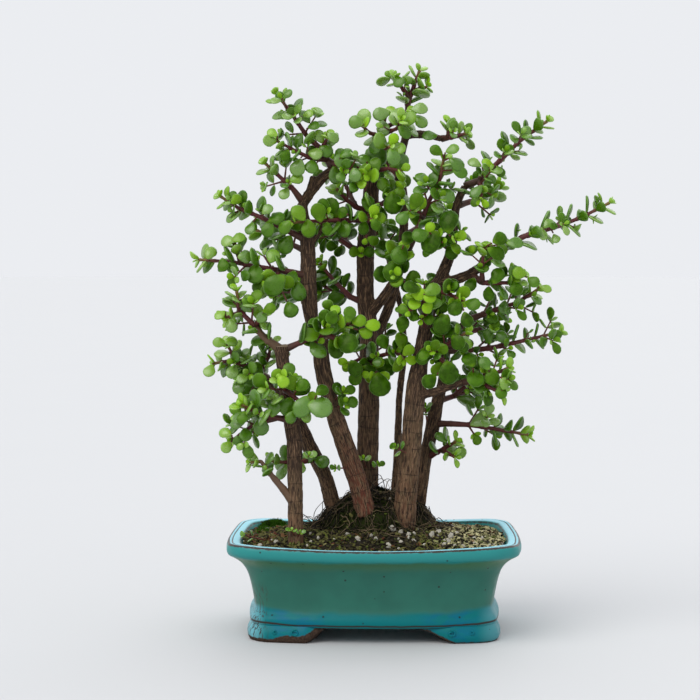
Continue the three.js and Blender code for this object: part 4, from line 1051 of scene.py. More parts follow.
def twig_material(looks):
    """Young stems: red brown and faintly ringed, greener between the newest leaves."""
    recipe = Recipe("young_bark")
    spot = recipe.place()
    youth, chance, woody, _ = recipe.tone()
    fleck = recipe.noise(spot, 1.1, detail=4)
    shade = recipe.layer(looks.warm_colour, looks.twig_colour, youth, 0.0, 0.45)
    shade = recipe.layer(shade, looks.tip_colour, youth, 0.8, 1.05)
    shade = recipe.layer(shade, srgb(58, 34, 30), fleck, 0.45, 0.8, 0.5)
    shade = recipe.mix(recipe.maths("MULTIPLY", chance, 0.25), shade, srgb(130, 78, 66))
    shade = recipe.mix(recipe.maths("MULTIPLY", woody, 0.85), shade, looks.old_and_shaded_colour)
    return recipe.finish(shade, 0.55, recipe.bump(fleck, 0.4, 0.35), Specular_IOR_Level=0.4)


def leaf_material(looks):
    """Fleshy satin leaves. Their tone holds youth, how much light falls on them, the share of the length
    and how near the edge it is."""
    recipe = Recipe("jade_leaf")
    spot = recipe.place()
    youth, lit, along, edge = recipe.tone()
    # Painted shade and light: the lit value blends each leaf from the dark shaded colour to the usual one.
    grown = recipe.layer(looks.old_and_shaded_colour, looks.usual_colour, lit, 0.1, 0.9)
    shade = recipe.layer(grown, looks.young_colour, youth, 0.15, 1.0)
    cloud = recipe.noise(spot, 6, detail=3)
    shade = recipe.layer(shade, scaled(looks.usual_colour, 1.5), cloud, 0.4, 0.75, 0.3)
    shade = recipe.layer(shade, looks.young_colour, along, 0.3, 0.0, 0.35)
    # Paler rim: partly the leaf's own colour, partly painted rim light.
    shade = recipe.layer(shade, looks.edge_and_rim_light_colour, edge, 0.35, 1.0, 0.5)
    # Painted sheen on the leaves given the most light.
    shade = recipe.layer(shade, looks.painted_sheen_colour, lit, 0.66, 1.0, 0.5)
    pores = recipe.noise(spot, 2.5, detail=2)
    rough = recipe.range(cloud, 0.3, 0.7, 0.24, 0.38)
    # Leaves given less light also reflect less and more yellowly, which deepens the painted shade.
    gloss = recipe.range(lit, 0.4, 0.9, 0.25, 1)
    tint = recipe.layer((0.8, 1, 0.4), (1, 1, 1), lit, 0.4, 0.8)
    return recipe.finish(shade, rough, recipe.bump(pores, 0.12, 0.15), Specular_IOR_Level=gloss,
                         Specular_Tint=tint, Subsurface_Weight=0.2, Subsurface_Scale=0.003,
                         Subsurface_Radius=(0.5, 1, 0.15))


def floor_material(looks):
    recipe = Recipe("plain_floor")
    spot = recipe.place()
    faint = recipe.noise(spot, 300, detail=2)
    shade = recipe.mix(recipe.maths("MULTIPLY", faint, 0.1), looks.floor_colour, srgb(212, 212, 212))
    return recipe.finish(shade, 0.7)


# Tray

def outline(inset, fineness=1):
    """The tray's outline as [x, y, share across, share along]: a rounded rectangle with bowed sides."""
    half_x, half_y = TRAY_LENGTH / 2 - inset, TRAY_DEPTH / 2 - inset
    radius = max(CORNER_RADIUS - inset * CORNER_SHRINK, SMALLEST_CORNER)
    corner_steps = CORNER_STEPS * fineness
    flat = []
    for quarter, (sign_x, sign_y) in enumerate(CORNERS):
        for step in range(corner_steps + 1):
            angle = (quarter + step / corner_steps) * math.pi / 2
            flat.append((sign_x * (half_x - radius) + radius * math.cos(angle),
                         sign_y * (half_y - radius) + radius * math.sin(angle)))
        if quarter % 2:
            steps, along_x, along_y = SHORT_SIDE_STEPS * fineness, 0, -sign_y * 2 * (half_y - radius)
        else:
            steps, along_x, along_y = LONG_SIDE_STEPS * fineness, -sign_x * 2 * (half_x - radius), 0
        from_x, from_y = flat[-1]
        for step in range(1, steps):
            flat.append((from_x + along_x * step / steps, from_y + along_y * step / steps))
    bowed = []
    for x, y in flat:
        share_x, share_y = x / half_x, y / half_y
        bowed.append((x + share_x * SHORT_SIDE_BOW * (1 - share_y ** 2),
                      y + share_y * LONG_SIDE_BOW * (1 - share_x ** 2), share_x, share_y))
    return bowed


def tray_ring(inset, height, fineness=1):
    """One level of the tray: near the rim the sides dip between the corners."""
    sag = max(0, (height - SAG_STARTS_AT) / (TRAY_HEIGHT - SAG_STARTS_AT))
    return [Vector((x, y, height - RIM_SAG * sag * (1 - (share_x * share_y) ** 2)))
            for x, y, share_x, share_y in outline(inset, fineness)]


def make_foot(corner):
    """One cloud foot: a moulded band round a corner whose ends draw in and curl up to the base. The tone's
    second value is the height over the foot's own lower edge, as a share of the tray's height."""
    sign_x, sign_y = corner
    long_arch = LEFT_ARCH if sign_x < 0 else RIGHT_ARCH
    levels = [tray_ring(inset, 0, FOOT_FINENESS) for inset, _ in FOOT_SECTION]
    guide = levels[FOOT_GUIDE]
    chosen = {i for i, spot in enumerate(guide)
              if spot.x * sign_x >= long_arch.crown and spot.y * sign_y >= SHORT_ARCH.crown}
    first = next(i for i in chosen if (i - 1) % len(guide) not in chosen)
    stations = [(first + step) % len(guide) for step in range(len(chosen))]
    rings, lifts = [], []
    top = FOOT_SECTION[0][1]
    for index in stations:
        spot = guide[index]
        climb = ease(max((arch.foot - distance) / (arch.foot - arch.crown) for arch, distance in
                         ((long_arch, spot.x * sign_x), (SHORT_ARCH, spot.y * sign_y))))
        lift = ARCH_HEIGHT * climb
        stretch = 1 + CORNER_LIFT * (1 - climb)
        ring = []
        for level, (inset, height) in zip(levels, FOOT_SECTION):
            drawn_in = climb if inset < FOOT_SECTION[0][0] else 0
            flat = level[index].lerp(levels[0][index], drawn_in)
            ring.append(Vector((flat.x, flat.y, lift + height * stretch * (top - lift) / top)))
        rings.append(ring)
        lifts.append(lift)
    bm = skin(rings)
    tone = bm.verts.layers.float_color["tone"]
    for vert in bm.verts:
        nearest = min(range(len(rings)),
                      key=lambda row: (rings[row][FOOT_GUIDE].xy - vert.co.xy).length_squared)
        vert[tone] = (0, (vert.co.z - lifts[nearest]) / TRAY_HEIGHT, vert.co.z / TRAY_HEIGHT, 0)
    return bm


def make_curl(corner, distance, height, radius, turns):
    """A scroll on the long side of a foot: a thin roll wound inwards, thin at both ends."""
    face = min((spot for spot in outline(CURL_INSET, FOOT_FINENESS) if spot[1] * corner[1] > 0),
               key=lambda spot: abs(spot[0] - corner[0] * distance))
    points, radii = [], []
    for step in range(CURL_STEPS + 1):
        share = step / CURL_STEPS
        angle = math.tau * turns * share + 1.2
        reach = radius * (1 - 0.55 * share)
        points.append(Vector((face[0] - corner[0] * reach * math.cos(angle), face[1] + corner[1] * 0.3,
                              height + reach * math.sin(angle) * 0.8)))
        radii.append(0.9 * math.sin(math.pi * (0.12 + 0.76 * share)))
    mark = (0, height / TRAY_HEIGHT, height / TRAY_HEIGHT, 0)
    return skin(rings_along(points, radii, CURL_SIDES), [mark] * len(points))


def make_tray(looks):
    groove = [[RIM_GROOVE + away, RIM_TOP - looks.groove_depth * cut, cut]
              for away, cut in ((-0.8, 0), (-0.3, 1), (0.3, 1), (0.8, 0))]
    profile = [*TRAY_PROFILE, *groove, *RIM_PROFILE, *INNER_PROFILE]
    bm = skin([tray_ring(inset, height) for inset, height, _ in profile],
              [(broken, 1, height / TRAY_HEIGHT, 0) for _, height, broken in profile])
    bm = with_modifiers(bm, ("SUBSURF", {"levels": 1, "render_levels": 1}))
    bm.normal_update()
    moved = [(vert, vert.normal * looks.waviness * lumps(vert.co, 34, 2))
             for vert in bm.verts if vert.co.z > UNDERSIDE]
    for vert, move in moved:
        vert.co += move
    drains = bmesh.new()
    for side in (-1, 1):
        middle = Matrix.Translation((side * DRAIN_X, 0, FLOOR_TOP * 0.8))
        bmesh.ops.create_cone(drains, cap_ends=True, segments=DRAIN_SIDES, radius1=DRAIN_RADIUS,
                              radius2=DRAIN_RADIUS, depth=FLOOR_TOP, matrix=middle)
    cutter = linked("drain_cutter", pattern_from(drains, "drain_cutter"))
    bm = with_modifiers(bm, ("BOOLEAN", {"operation": "DIFFERENCE", "solver": "EXACT", "object": cutter}))
    bpy.data.objects.remove(cutter)
    for corner in CORNERS:
        add_mesh(bm, make_foot(corner))
        for curl in FOOT_CURLS:
            add_mesh(bm, make_curl(corner, *curl))
    finish_piece("glazed_tray", bm, [glaze_material(looks)], ["tray"])


def make_screens():
    """A square of plastic mesh over each drain hole, as a grid whose faces are opened."""
    material = mesh_material()
    for name, side in (("left", -1), ("right", 1)):
        bm = bmesh.new()
        bmesh.ops.create_grid(bm, x_segments=SCREEN_CELLS, y_segments=SCREEN_CELLS, size=SCREEN_SIDE / 2,
                              matrix=Matrix.Translation((side * DRAIN_X, 0, FLOOR_TOP + 1)))
        bmesh.ops.wireframe(bm, faces=bm.faces, thickness=1, offset=0, use_replace=True, use_boundary=True,
                            use_even_offset=True)
        finish_piece(f"screen_mesh_{name}", bm, [material], [f"drain_screen_{name}"],
                     flat=True)


# Soil and moss

def soil_height(x, y):
    """The soil's surface: low at the walls and gently heaped towards the middle."""
    across = 1 - (x / (TRAY_LENGTH / 2 - SOIL_INSET)) ** 2
    along = 1 - (y / (TRAY_DEPTH / 2 - SOIL_INSET)) ** 2
    rough = 0.9 * lumps(Vector((x, y, 7)), 11)
    return SOIL_EDGE + SOIL_RISE * max(across, 0) * max(along, 0) + rough * ease(min(across, along) * 6)


def reach_in(patch, x, y):
    """How far out a point is in an oval patch: 0 in its middle and 1 on its edge."""
    return math.hypot((x - patch.x) / patch.half_x, (y - patch.y) / patch.half_y)


def spot_in(patch, share, angle):
    """The point of an oval patch in some direction, a share of the way out to its edge."""
    return patch.x + patch.half_x * share * math.cos(angle), patch.y + patch.half_y * share * math.sin(angle)


def mound_height(cushion, x, y):
    """The top of a moss cushion, or the soil where the cushion doesn't reach."""
    share = reach_in(cushion, x, y)
    ground = soil_height(x, y)
    if share >= 1:
        return ground
    clumps = cushion.height * 0.1 * lumps(Vector((x, y, 40)), cushion.half_x * 0.16)
    return ground + (cushion.height * (1 - share ** 2) + clumps) * ease((1 - share) * 5)


def make_soil(looks):
    wall = [[inset + GAP, height] for inset, height, _ in reversed(INNER_PROFILE)]
    wall[1][1] = FLOOR_TOP + 2
    rings = [tray_ring(inset, height) for inset, height in wall[1:-1]]
    edge = [Vector((spot.x, spot.y, SOIL_EDGE - 2)) for spot in tray_ring(wall[-1][0], 0)]
    rings.append(edge)
    for step in range(SOIL_RINGS):
        share = 0.985 * (1 - step / SOIL_RINGS)
        rings.append([Vector((spot.x * share, spot.y * share, soil_height(spot.x * share, spot.y * share)))
                      for spot in edge])
    finish_piece("gritty_soil", skin(rings), [humus_material(looks)], ["soil"])


def stone_patterns(name, size, breadth, squash, draw):
    """A few broken flakes or rounded stones, each a small jittered ball."""
    patterns = []
    for variant in range(6):
        bm = new_growth()
        bmesh.ops.create_icosphere(bm, subdivisions=1, radius=size / 2)
        for vert in bm.verts:
            vert.co *= 0.68 + 0.6 * draw()
        squeezed = (1, breadth * (0.7 + 0.6 * draw()), squash * (0.6 + 0.8 * draw()))
        bmesh.ops.scale(bm, vec=squeezed, verts=bm.verts)
        patterns.append(pattern_from(bm, f"{name}_{variant}"))
    return patterns


def picked(patterns, chance):
    """One of some patterns, by a chance from 0 to 1."""
    return patterns[int(chance * len(patterns)) % len(patterns)]


def on_soil(draw):
    """A random spot on the soil inside the tray."""
    half_x, half_y = TRAY_LENGTH / 2 - SOIL_INSET, TRAY_DEPTH / 2 - SOIL_INSET
    while True:
        share_x, share_y = draw() * 2 - 1, draw() * 2 - 1
        if share_x ** 6 + share_y ** 6 < 1:
            break
    return (half_x * share_x + share_x * SHORT_SIDE_BOW * (1 - share_y ** 2),
            half_y * share_y + share_y * LONG_SIDE_BOW * (1 - share_x ** 2))


def either_way(draw, most):
    """A random amount, up to the most that it can be one way or the other."""
    return (draw() * 2 - 1) * most


def turned(draw, tilt):
    """A random turn about the upright, tilted by up to some angle."""
    lean = Matrix.Rotation(either_way(draw, tilt), 4, "X") @ Matrix.Rotation(either_way(draw, tilt), 4, "Y")
    return lean @ Matrix.Rotation(draw() * math.tau, 4, "Z")


def scattered(patterns, count, seed, tilt, sunk, keeps, paleness):
    """Copies of some small stones over the soil, as their patterns, places and tones. They lie thinner on the
    moss mound, and keeps gives the share of them that stays at a place."""
    draw = draws_from(seed)
    for _ in range(count):
        x, y = on_soil(draw)
        scale = 0.5 + 0.45 * draw() + 0.6 * draw() ** 4
        matrix = turned(draw, tilt)
        chance, kind, stays = draw(), draw(), draw()
        if stays > keeps(x, y) * (1 if reach_in(MOUND, x, y) > 0.92 else 0.14):
            continue
        spot = Vector((x, y, mound_height(MOUND, x, y) + sunk * scale))
        litter = draw() ** (1 + ease((LITTER_TO - x) / LITTER_FADE))
        placed = Matrix.Translation(spot) @ matrix @ Matrix.Scale(scale, 4)
        yield picked(patterns, kind), placed, (paleness(x, y, chance), litter)


def dark_patch(x, y):
    """How much dark humus shows through the grit: most in the middle of the front."""
    return 1 - ease(reach_in(DARK_SOIL, x, y) + 0.35 * lumps(Vector((x, y, 3)), 14, 2))


def flake_paleness(x, y, chance):
    """Dark crumbs among olive and pale flakes, palest on the right and darkest in the dark patch."""
    pale = 0.25 * chance
    if chance > 0.4:
        towards_right = ease((x - PALE_SOIL_FROM) / (PALE_SOIL_TO - PALE_SOIL_FROM))
        pale = 0.5 * (chance - 0.3) / 0.7 + 0.1 + 0.45 * towards_right
    return pale * (1 - 0.85 * dark_patch(x, y))


def make_grit(looks):
    draw = draws_from(SEEDS["stones"])
    flakes = stone_patterns("flake", looks.flake_size, 0.5, 0.3, draw)
    stones = stone_patterns("pumice", looks.flake_size * 0.95, 0.85, 0.75, draw)
    pumice = pumice_material(looks)
    spread = scattered(flakes, looks.flake_count, SEEDS["flakes"], 0.8, 0.8, lambda x, y: 1, flake_paleness)
    finish_piece("soil_flakes", gathered(stamp, spread, BATCH), [grit_material(looks)], flat=True)
    spread = scattered(stones, looks.pumice_count, SEEDS["pumice"], 1.5, 0.9,
                       lambda x, y: 0.4 + 0.6 * ease((x + 40) / 60), lambda x, y, chance: chance)
    finish_piece("soil_pumice", gathered(stamp, spread, BATCH), [pumice], flat=True)
    bm = new_growth()
    for index, (x, y, scale) in enumerate(LARGE_STONES):
        spot = Vector((x, y, mound_height(MOUND, x, y) + 0.8 * scale))
        placed = Matrix.Translation(spot) @ turned(draw, 1.5) @ Matrix.Scale(scale, 4)
        stamp(bm, stones[index % len(stones)], placed, (0, draw()))
    finish_piece("large_stones", bm, [pumice], flat=True)


def make_cushion(name, cushion, material, node):
    """The body of a moss cushion, whose foot goes below the soil."""
    rings = []
    for level in range(-1, CUSHION_LEVELS):
        share = 1.0 if level < 0 else 0.99 * (1 - level / CUSHION_LEVELS)
        ring = []
        for column in range(CUSHION_COLUMNS):
            x, y = spot_in(cushion, share, math.tau * column / CUSHION_COLUMNS)
            sunk = CUSHION_FOOT if level < 0 else 0
            ring.append(Vector((x, y, mound_height(cushion, x, y) - sunk)))
        rings.append(ring)
    finish_piece(name, skin(rings), [material], [node])


def tuft_pattern():
    """Five pointed moss leaves from one foot."""
    bm = new_growth()
    blades = 5
    for blade in range(blades):
        lean = Matrix.Rotation(0.55 if blade else 0, 4, "Y")
        turn = Matrix.Rotation(math.tau * blade / (blades - 1), 4, "Z")
        bmesh.ops.create_cone(bm, cap_ends=True, segments=3, radius1=0.32, radius2=0, depth=2.6,
                              matrix=turn @ lean @ Matrix.Translation((0, 0, 1.1)))
    return pattern_from(bm, "moss_tuft")


def tufts(cushion, count, seed, dryness, size):
    """Tufts of many sizes all over a cushion, as their pattern, places and tones."""
    draw = draws_from(seed)
    pattern = tuft_pattern()
    for _ in range(count):
        share = math.sqrt(draw()) * 1.04
        x, y = spot_in(cushion, share, draw() * math.tau)
        scale = size * (0.7 + 0.9 * draw())
        spot = Vector((x, y, mound_height(cushion, x, y) - 0.3))
        placed = Matrix.Translation(spot) @ turned(draw, 0.6) @ Matrix.Scale(scale, 4)
        yield pattern, placed, (draw() * dryness, draw())


def make_tufts(name, cushion, count, seed, material, dryness, size=1):
    bm = gathered(stamp, tufts(cushion, count, seed, dryness, size), BATCH)
    finish_piece(name, bm, [material], flat=True)


def rootlet(x, y, heading, bend, arch, steps, radius, draw):
    """One thin root that wanders over the ground, lifted in an arch between its ends."""
    points = []
    for step in range(steps + 1):
        rise = arch * math.sin(math.pi * step / steps)
        points.append(Vector((x, y, mound_height(MOUND, x, y) + 0.5 + rise)))
        heading += bend + (draw() - 0.5) * 0.8
        x += ROOT_STEP * math.cos(heading)
        y += ROOT_STEP * math.sin(heading)
    radii = [radius * (1 - 0.6 * step / steps) for step in range(steps + 1)]
    return skin(rings_along(points, radii, ROOT_SIDES), [(0, draw(), 0, 0)] * (steps + 1))


def creeping_roots(count, draw):
    """Thin roots that creep over the mound and down on to the soil."""
    for _ in range(count):
        share = 0.2 + 0.85 * draw()
        angle = draw() * math.tau
        x, y = spot_in(MOUND, share, angle)
        arch = 1 + 6 * draw() ** 3
        yield (rootlet(x, y, angle + (draw() - 0.5) * 2.6, (draw() - 0.5) * 0.5, arch, 9 + int(draw() * 8),
                       0.26 + 0.34 * draw() ** 2, draw),)


def make_rootlets(looks):
    """Creeping roots, with a few that stand up in loops."""
    draw = draws_from(SEEDS["roots"])
    bm = gathered(add_mesh, creeping_roots(looks.rootlet_count, draw), ROOT_BATCH)
    for x, y, heading, arch in LOOPED_ROOTS:
        for bend in (0.32, -0.24):
            add_mesh(bm, rootlet(x, y, heading * math.tau, bend, arch, 13, 0.42, draw))
    finish_piece("rootlets", bm, [root_material(looks)])


# Wood

def grain_of(points, limbs):
    """For each point, its place in its own limb laid out straight: two distances across and one along,
    then how far up its tree it is, from 0 to 1."""
    best = np.full(len(points), np.inf)
    grain = np.zeros((len(points), 4))
    for order, (route, widths) in enumerate(limbs):
        along = 0.0
        across = Vector((0, 1, 0))
        total = sum((b - a).length for a, b in zip(route, route[1:]))
        for a, b, width in zip(route, route[1:], widths):
            heading = (b - a).normalized()
            across = (across - heading * across.dot(heading)).normalized()
            third = heading.cross(across)
            away = points - np.array(a)
            run = np.clip(away @ np.array(heading), 0, (b - a).length)
            offset = away - run[:, None] * np.array(heading)
            gap = np.linalg.norm(offset, axis=1) - width
            nearer = gap < best
            best[nearer] = gap[nearer]
            grain[nearer, 0] = (offset @ np.array(across))[nearer]
            grain[nearer, 1] = (offset @ np.array(third))[nearer]
            grain[nearer, 2] = (along + run)[nearer] + order * 97
            share = (along + run) / total
            grain[nearer, 3] = (share if not order else 0.6 + 0.4 * share)[nearer]
            along += (b - a).length
    return grain


def make_trunk(name, limbs, material, looks):
    """One trunk: its limbs fused into one skin, cracked along the grain and ringed where it is young."""
    routes = [smooth_route(limb, LIMB_STEP) for limb in limbs]
    bm = new_growth()
    for route, widths in routes:
        add_mesh(bm, skin(rings_along(route, widths, LIMB_SIDES)))
    bm = with_modifiers(bm, ("REMESH", {"mode": "VOXEL", "voxel_size": looks.fineness}),
                        ("SMOOTH", {"factor": 0.5, "iterations": 3}))
    points = np.array([vert.co for vert in bm.verts])
    grain = grain_of(points, routes)
    tone = bm.verts.layers.float_color.new("tone")
    line = bm.verts.layers.float_vector.new("grain")
    bm.normal_update()
    top = routes[0][0][-1]
    blunt = routes[0][1][-1] > routes[0][1][-2]
    for vert, (u, v, w, up) in zip(bm.verts, grain):
        old = 1 - ease((up - 0.45) / 0.5)
        ridges = noise.noise(Vector((u / 2.6, v / 2.6, w / 15)))
        crack = ease((0.12 - abs(ridges)) / 0.12)
        knots = lumps(Vector((u, v, w)), 12, 2) * 0.5
        ring = max(0, math.cos(w / 11 * math.tau)) ** 8 * 0.35 * (1 - old)
        cut = 1.0 if blunt and vert.co.z > top.z - 1.2 else 0.0
        vert.co += vert.normal * (knots + ring - looks.crack_depth * crack * (0.25 + 0.75 * old) * (1 - cut))
        redness = (0.95 if name == RED_TRUNK else 0.3) * (1 - ease((up - 0.08) / 0.36))
        # Trunks in the shade of the others get painted shade: young-looking dark bark down to the foot.
        youth = max(ease((up - 0.1) / 0.65), SHADED_TRUNKS.get(name, 0))
        vert[tone] = (youth, cut, crack * (0.3 + 0.7 * old), redness)
        vert[line] = Vector((u, v, w)) * MILLIMETRE
    finish_piece(f"bark_{name}", bm, [material], [f"trunk_{name}"])


# Foliage

Run = namedtuple("Run", "start heading across third begins length")
Leaf = namedtuple("Leaf", "foot along wide upper size youth")
Stalk = namedtuple("Stalk", "foot along wide upper reach half")
Stem = namedtuple("Stem", "runs total thickness stations stalks leaves")


def runs_of(points, turn):
    """The straight runs of a stem, each with its heading and the two directions across it."""
    across = Vector((0, 1, 0))
    runs = []
    begins = 0.0
    for start, end in zip(points, points[1:]):
        heading = end - start
        reach = heading.length
        heading = heading.normalized()
        across = (across - heading * across.dot(heading)).normalized()
        if not runs:
            across = Matrix.Rotation(turn, 3, heading) @ across
        runs.append(Run(start, heading, across, heading.cross(across), begins, reach))
        begins += reach
    return runs


def run_at(runs, distance):
    """The run of a stem that a distance along it falls on."""
    return [run for run in runs if run.begins <= distance][-1]


def centre_at(runs, distance):
    """The middle of a stem at a distance along it."""
    run = run_at(runs, distance)
    return run.start + run.heading * (distance - run.begins)


def sideways(outward, heading, forward):
    """How a leaf or shoot leaves the twig: outwards, somewhat forwards, and turned up to the light."""
    along = (outward + heading * forward + LIGHT).normalized()
    upper = (heading - along * along.dot(heading)).normalized()
    return along, upper.cross(along), upper


def shoot_leaves(stalk, size, forward, youth):
    """The leaves of a side shoot: the model's pair at its tip, a young pair above and an old one below."""
    slim = stalk.half * SHOOT_SHARE
    end = stalk.foot + stalk.along * stalk.reach
    for side in (1, -1):
        outward = stalk.wide * side
        foot = end - stalk.along * slim + outward * slim
        yield True, Leaf(foot, *sideways(outward, stalk.along, forward), size, youth)
    for side in (1, -1):
        outward = stalk.upper * side
        yield False, Leaf(end + outward * slim * 0.5, *sideways(outward, stalk.along, forward + 0.5),
                          size * 0.55, youth + 0.4)
    if stalk.reach > SHOOT_LENGTH:
        for side in (1, -1):
            outward = stalk.upper * side
            foot = stalk.foot + stalk.along * stalk.reach * 0.5 + outward * slim
            yield False, Leaf(foot, *sideways(outward, stalk.along, forward), size, youth - 0.2)


def plan_stem(points, thickness, bare, spray, seed):
    """One leafy stem, counted from its tip, by the model's own rule: the twig's joints, its side shoots and
    its leaves, each with whether the model has it too. A second generator adds what the model leaves out."""
    draw = draws_from(seed)
    extra = draws_from(seed + SEEDS["buds"])
    runs = runs_of(points, draw() * math.pi)
    total = runs[-1].begins + runs[-1].length
    stem = Stem(runs, total, thickness, [], [], [])
    distance = total - thickness * (1 - TWIG_TAPER)
    spacing, joint = TIP_SPACING, 0
    while distance > bare:
        if joint:
            spacing = min(spacing * SPACING_GROWTH, WIDEST_SPACING)
        run = run_at(runs, distance)
        carries_shoots = draw() < spray.bush and joint > 1
        half = half_at(stem, distance)
        young = YOUNG_SHARES[joint] if joint < len(YOUNG_SHARES) else 1
        kept = joint % KEPT_CYCLE < KEPT_JOINTS
        for side in (1, -1):
            forward = 0.3 + 0.5 * draw() + (0 if joint else 0.3)
            size = LEAF_LENGTH * spray.leaf * young * (0.85 + 0.3 * draw())
            reach = SHOOT_LENGTH * (0.8 + 0.8 * draw())
            outward = (run.third if joint % 2 else run.across) * side
            foot = centre_at(runs, distance) + outward * half
            directions = sideways(outward, run.heading, forward)
            if carries_shoots:
                stalk = Stalk(foot, *directions, reach, half)
                stem.stalks.append(stalk)
                stem.leaves.extend((kept and shown, leaf) for shown, leaf in
                                   shoot_leaves(stalk, size * YOUNG_SHARES[1], forward, 0.3))
                continue
            grown = 1 + AGED_GROWTH * min(joint, 5)
            stem.leaves.append((kept, Leaf(foot, *directions, size * grown, max(0, 1 - joint * 0.42))))
            if joint > 1 and extra() < BUD_SHARES.get(spray.name, BUD_SHARE):
                add_bud(stem, foot, outward, run.heading, spray.leaf, extra)
        stem.stations.append(distance)
        distance -= spacing
        joint += 1
    last = runs[-1]
    for side in (1, -1):
        directions = sideways(last.third * side, last.heading, 1.1)
        stem.leaves.append((False, Leaf(centre_at(runs, total), *directions, LEAF_LENGTH * 0.38, 1.2)))
    return stem


def half_at(stem, distance):
    """Half the thickness of the model's twig at a distance along it."""
    return stem.thickness * (1 - TWIG_TAPER * distance / stem.total)


def add_bud(stem, foot, outward, heading, leaf_share, extra):
    """A short shoot in the corner over a leaf, with one or two crossed pairs of small leaves."""
    along = (heading * (0.5 + 0.6 * extra()) + outward + LIGHT).normalized()
    wide = along.cross(heading).normalized()
    stalk = Stalk(foot, along, wide, wide.cross(along), 4 + 6 * extra(), SIDE_TWIG * 0.75)
    stem.stalks.append(stalk)
    size = LEAF_LENGTH * leaf_share * (0.5 + 0.38 * extra())
    stem.leaves.extend((False, leaf) for _, leaf in shoot_leaves(stalk, size, 0.5, 0.15))


def twig_mesh(stem, stout, woody):
    """The twig itself: round, swollen at each joint, and thicker towards its foot than the model's. A stout
    one is thicker still, and its foot keeps its old bark as far up as woody says."""
    marks = {0.0: 1.05, stem.total: 0.7}
    for station in stem.stations:
        swell = {station - 2.4: 0.95, station - 0.8: 1.14, station + 0.6: 1.12, station + 2: 0.93}
        marks.update({distance: share for distance, share in swell.items() if 0 < distance < stem.total})
    for run in stem.runs[1:]:
        marks.setdefault(run.begins - 1.5, 1.0)
        marks.setdefault(run.begins + 1.5, 1.0)
    bare_end = min(stem.stations, default=stem.total)
    step = 6
    for index in range(1, int(bare_end / step)):
        marks.setdefault(index * step + 0.1, 1.0 + 0.08 * (index % 2))
    distances = sorted(marks)
    points = [centre_at(stem.runs, distance) for distance in distances]
    shares = [distance / stem.total for distance in distances]
    swells = [FOOT_SWELL * stout * (1 - share) + TIP_SWELL * share for share in shares]
    radii = [half_at(stem, distance) * marks[distance] * swell for distance, swell in zip(distances, swells)]
    tones = [(share, 0.5 + 0.5 * lumps(point, 15, 1), ease((woody - share) / 0.2), 0)
             for share, point in zip(shares, points)]
    return skin(rings_along(points, radii, TWIG_SIDES), tones)


def leaf_patterns(looks, slender):
    """Leaf shapes: fleshy, round to widest past the middle, with a narrow root, cupped or bent back."""
    kind, shapes, root, swell, rise = "round", ROUND_LEAVES, 0.62, 0.44, 1.5
    if slender:
        kind, shapes, root, swell, rise = "slender", SLENDER_LEAVES, 0.5, 0.56, 1.35
    thick = looks.thickness / LEAF_LENGTH
    patterns = []
    for variant, (width, cup, curl) in enumerate(shapes):
        bm = new_growth()
        tone = bm.verts.layers.float_color["tone"]
        bmesh.ops.create_uvsphere(bm, u_segments=14, v_segments=4, radius=1)
        for vert in bm.verts:
            x, y, z = vert.co
            spread = math.hypot(x, y)
            if 0.1 < spread < 0.9:
                x, y, z = x * 1.2, y * 1.2, z * 1.15
            reach = (x + 1) / 2
            neck = ease(reach / 0.13)
            aside = y * width / 2 * (root + swell * ease(reach * rise)) * (0.6 + 0.4 * neck)
            bend = cup * aside * aside * 2 + curl * reach * reach
            vert.co = (reach, aside, z * thick / 2 * (0.75 + 0.25 * neck) + bend)
            vert[tone] = (0, 0, reach, ease((spread - 0.72) / 0.28))
        patterns.append(pattern_from(bm, f"{kind}_leaf_{variant}"))
    return patterns


def stalk_pattern():
    """A short twig one unit long and one thick, swollen at its tip."""
    profile = [(-0.05, 1.3), (0.1, 1.15), (0.45, 1.0), (0.5, 1.2), (0.56, 0.95), (0.92, 0.9), (1, 1.1),
               (1.04, 0.4)]
    angles = [math.tau * side / STALK_SIDES for side in range(STALK_SIDES)]
    rings = [[Vector((x, radius * math.cos(angle), radius * math.sin(angle))) for angle in angles]
             for x, radius in profile]
    return pattern_from(skin(rings), "stalk")


class Canopy:
    """Keeps leaves, each taken as a round disc, out of the wood and from cutting through each other."""

    def __init__(self, wood):
        self.wood = wood
        self.discs = np.empty((0, 7))

    def fits(self, leaf):
        radius = leaf.size * DISC_SHARE
        middle = np.array(leaf.foot + leaf.along * leaf.size * LEAF_REACH)
        face = np.array(leaf.upper)
        if self.cuts_wood(middle, face, radius) or self.cuts_leaves(middle, face, radius):
            return False
        self.discs = np.vstack([self.discs, [*middle, *face, radius]])
        return True

    def cuts_wood(self, middle, face, radius):
        """Whether a disc goes well into any bead of wood."""
        away = self.wood[:, :3] - middle
        above = away @ face
        level = np.sqrt(np.maximum((away ** 2).sum(axis=1) - above ** 2, 0))
        bite = np.sqrt(np.maximum(self.wood[:, 3] ** 2 - above ** 2, 0))
        return bool(((bite > 0) & (level < radius * 0.7 + bite)).any())

    def cuts_leaves(self, middle, face, radius):
        """Whether a disc crosses another along more than a short line, or lies flat against it."""
        gaps = self.discs[:, :3] - middle
        faces, radii = self.discs[:, 3:6], self.discs[:, 6]
        line = np.cross(faces, face)
        slant = np.maximum(np.linalg.norm(line, axis=1), 1e-6)
        above = np.abs(gaps @ face)
        ours = np.sqrt(np.maximum(radius ** 2 - ((gaps * faces).sum(axis=1) / slant) ** 2, 0))
        theirs = np.sqrt(np.maximum(radii ** 2 - (above / slant) ** 2, 0))
        shift = np.abs((gaps * line).sum(axis=1)) / slant
        shared = np.minimum(np.minimum(ours, theirs) * 2, ours + theirs - shift)
        crossing = (slant > 0.25) & (ours > 0) & (theirs > 0) & (shared > CROSSING_SHARE * radius)
        distance = np.linalg.norm(gaps, axis=1)
        pressed = (slant <= 0.25) & (above < 1.6) & (distance < 0.8 * (radius + radii))
        return bool((crossing | pressed).any())


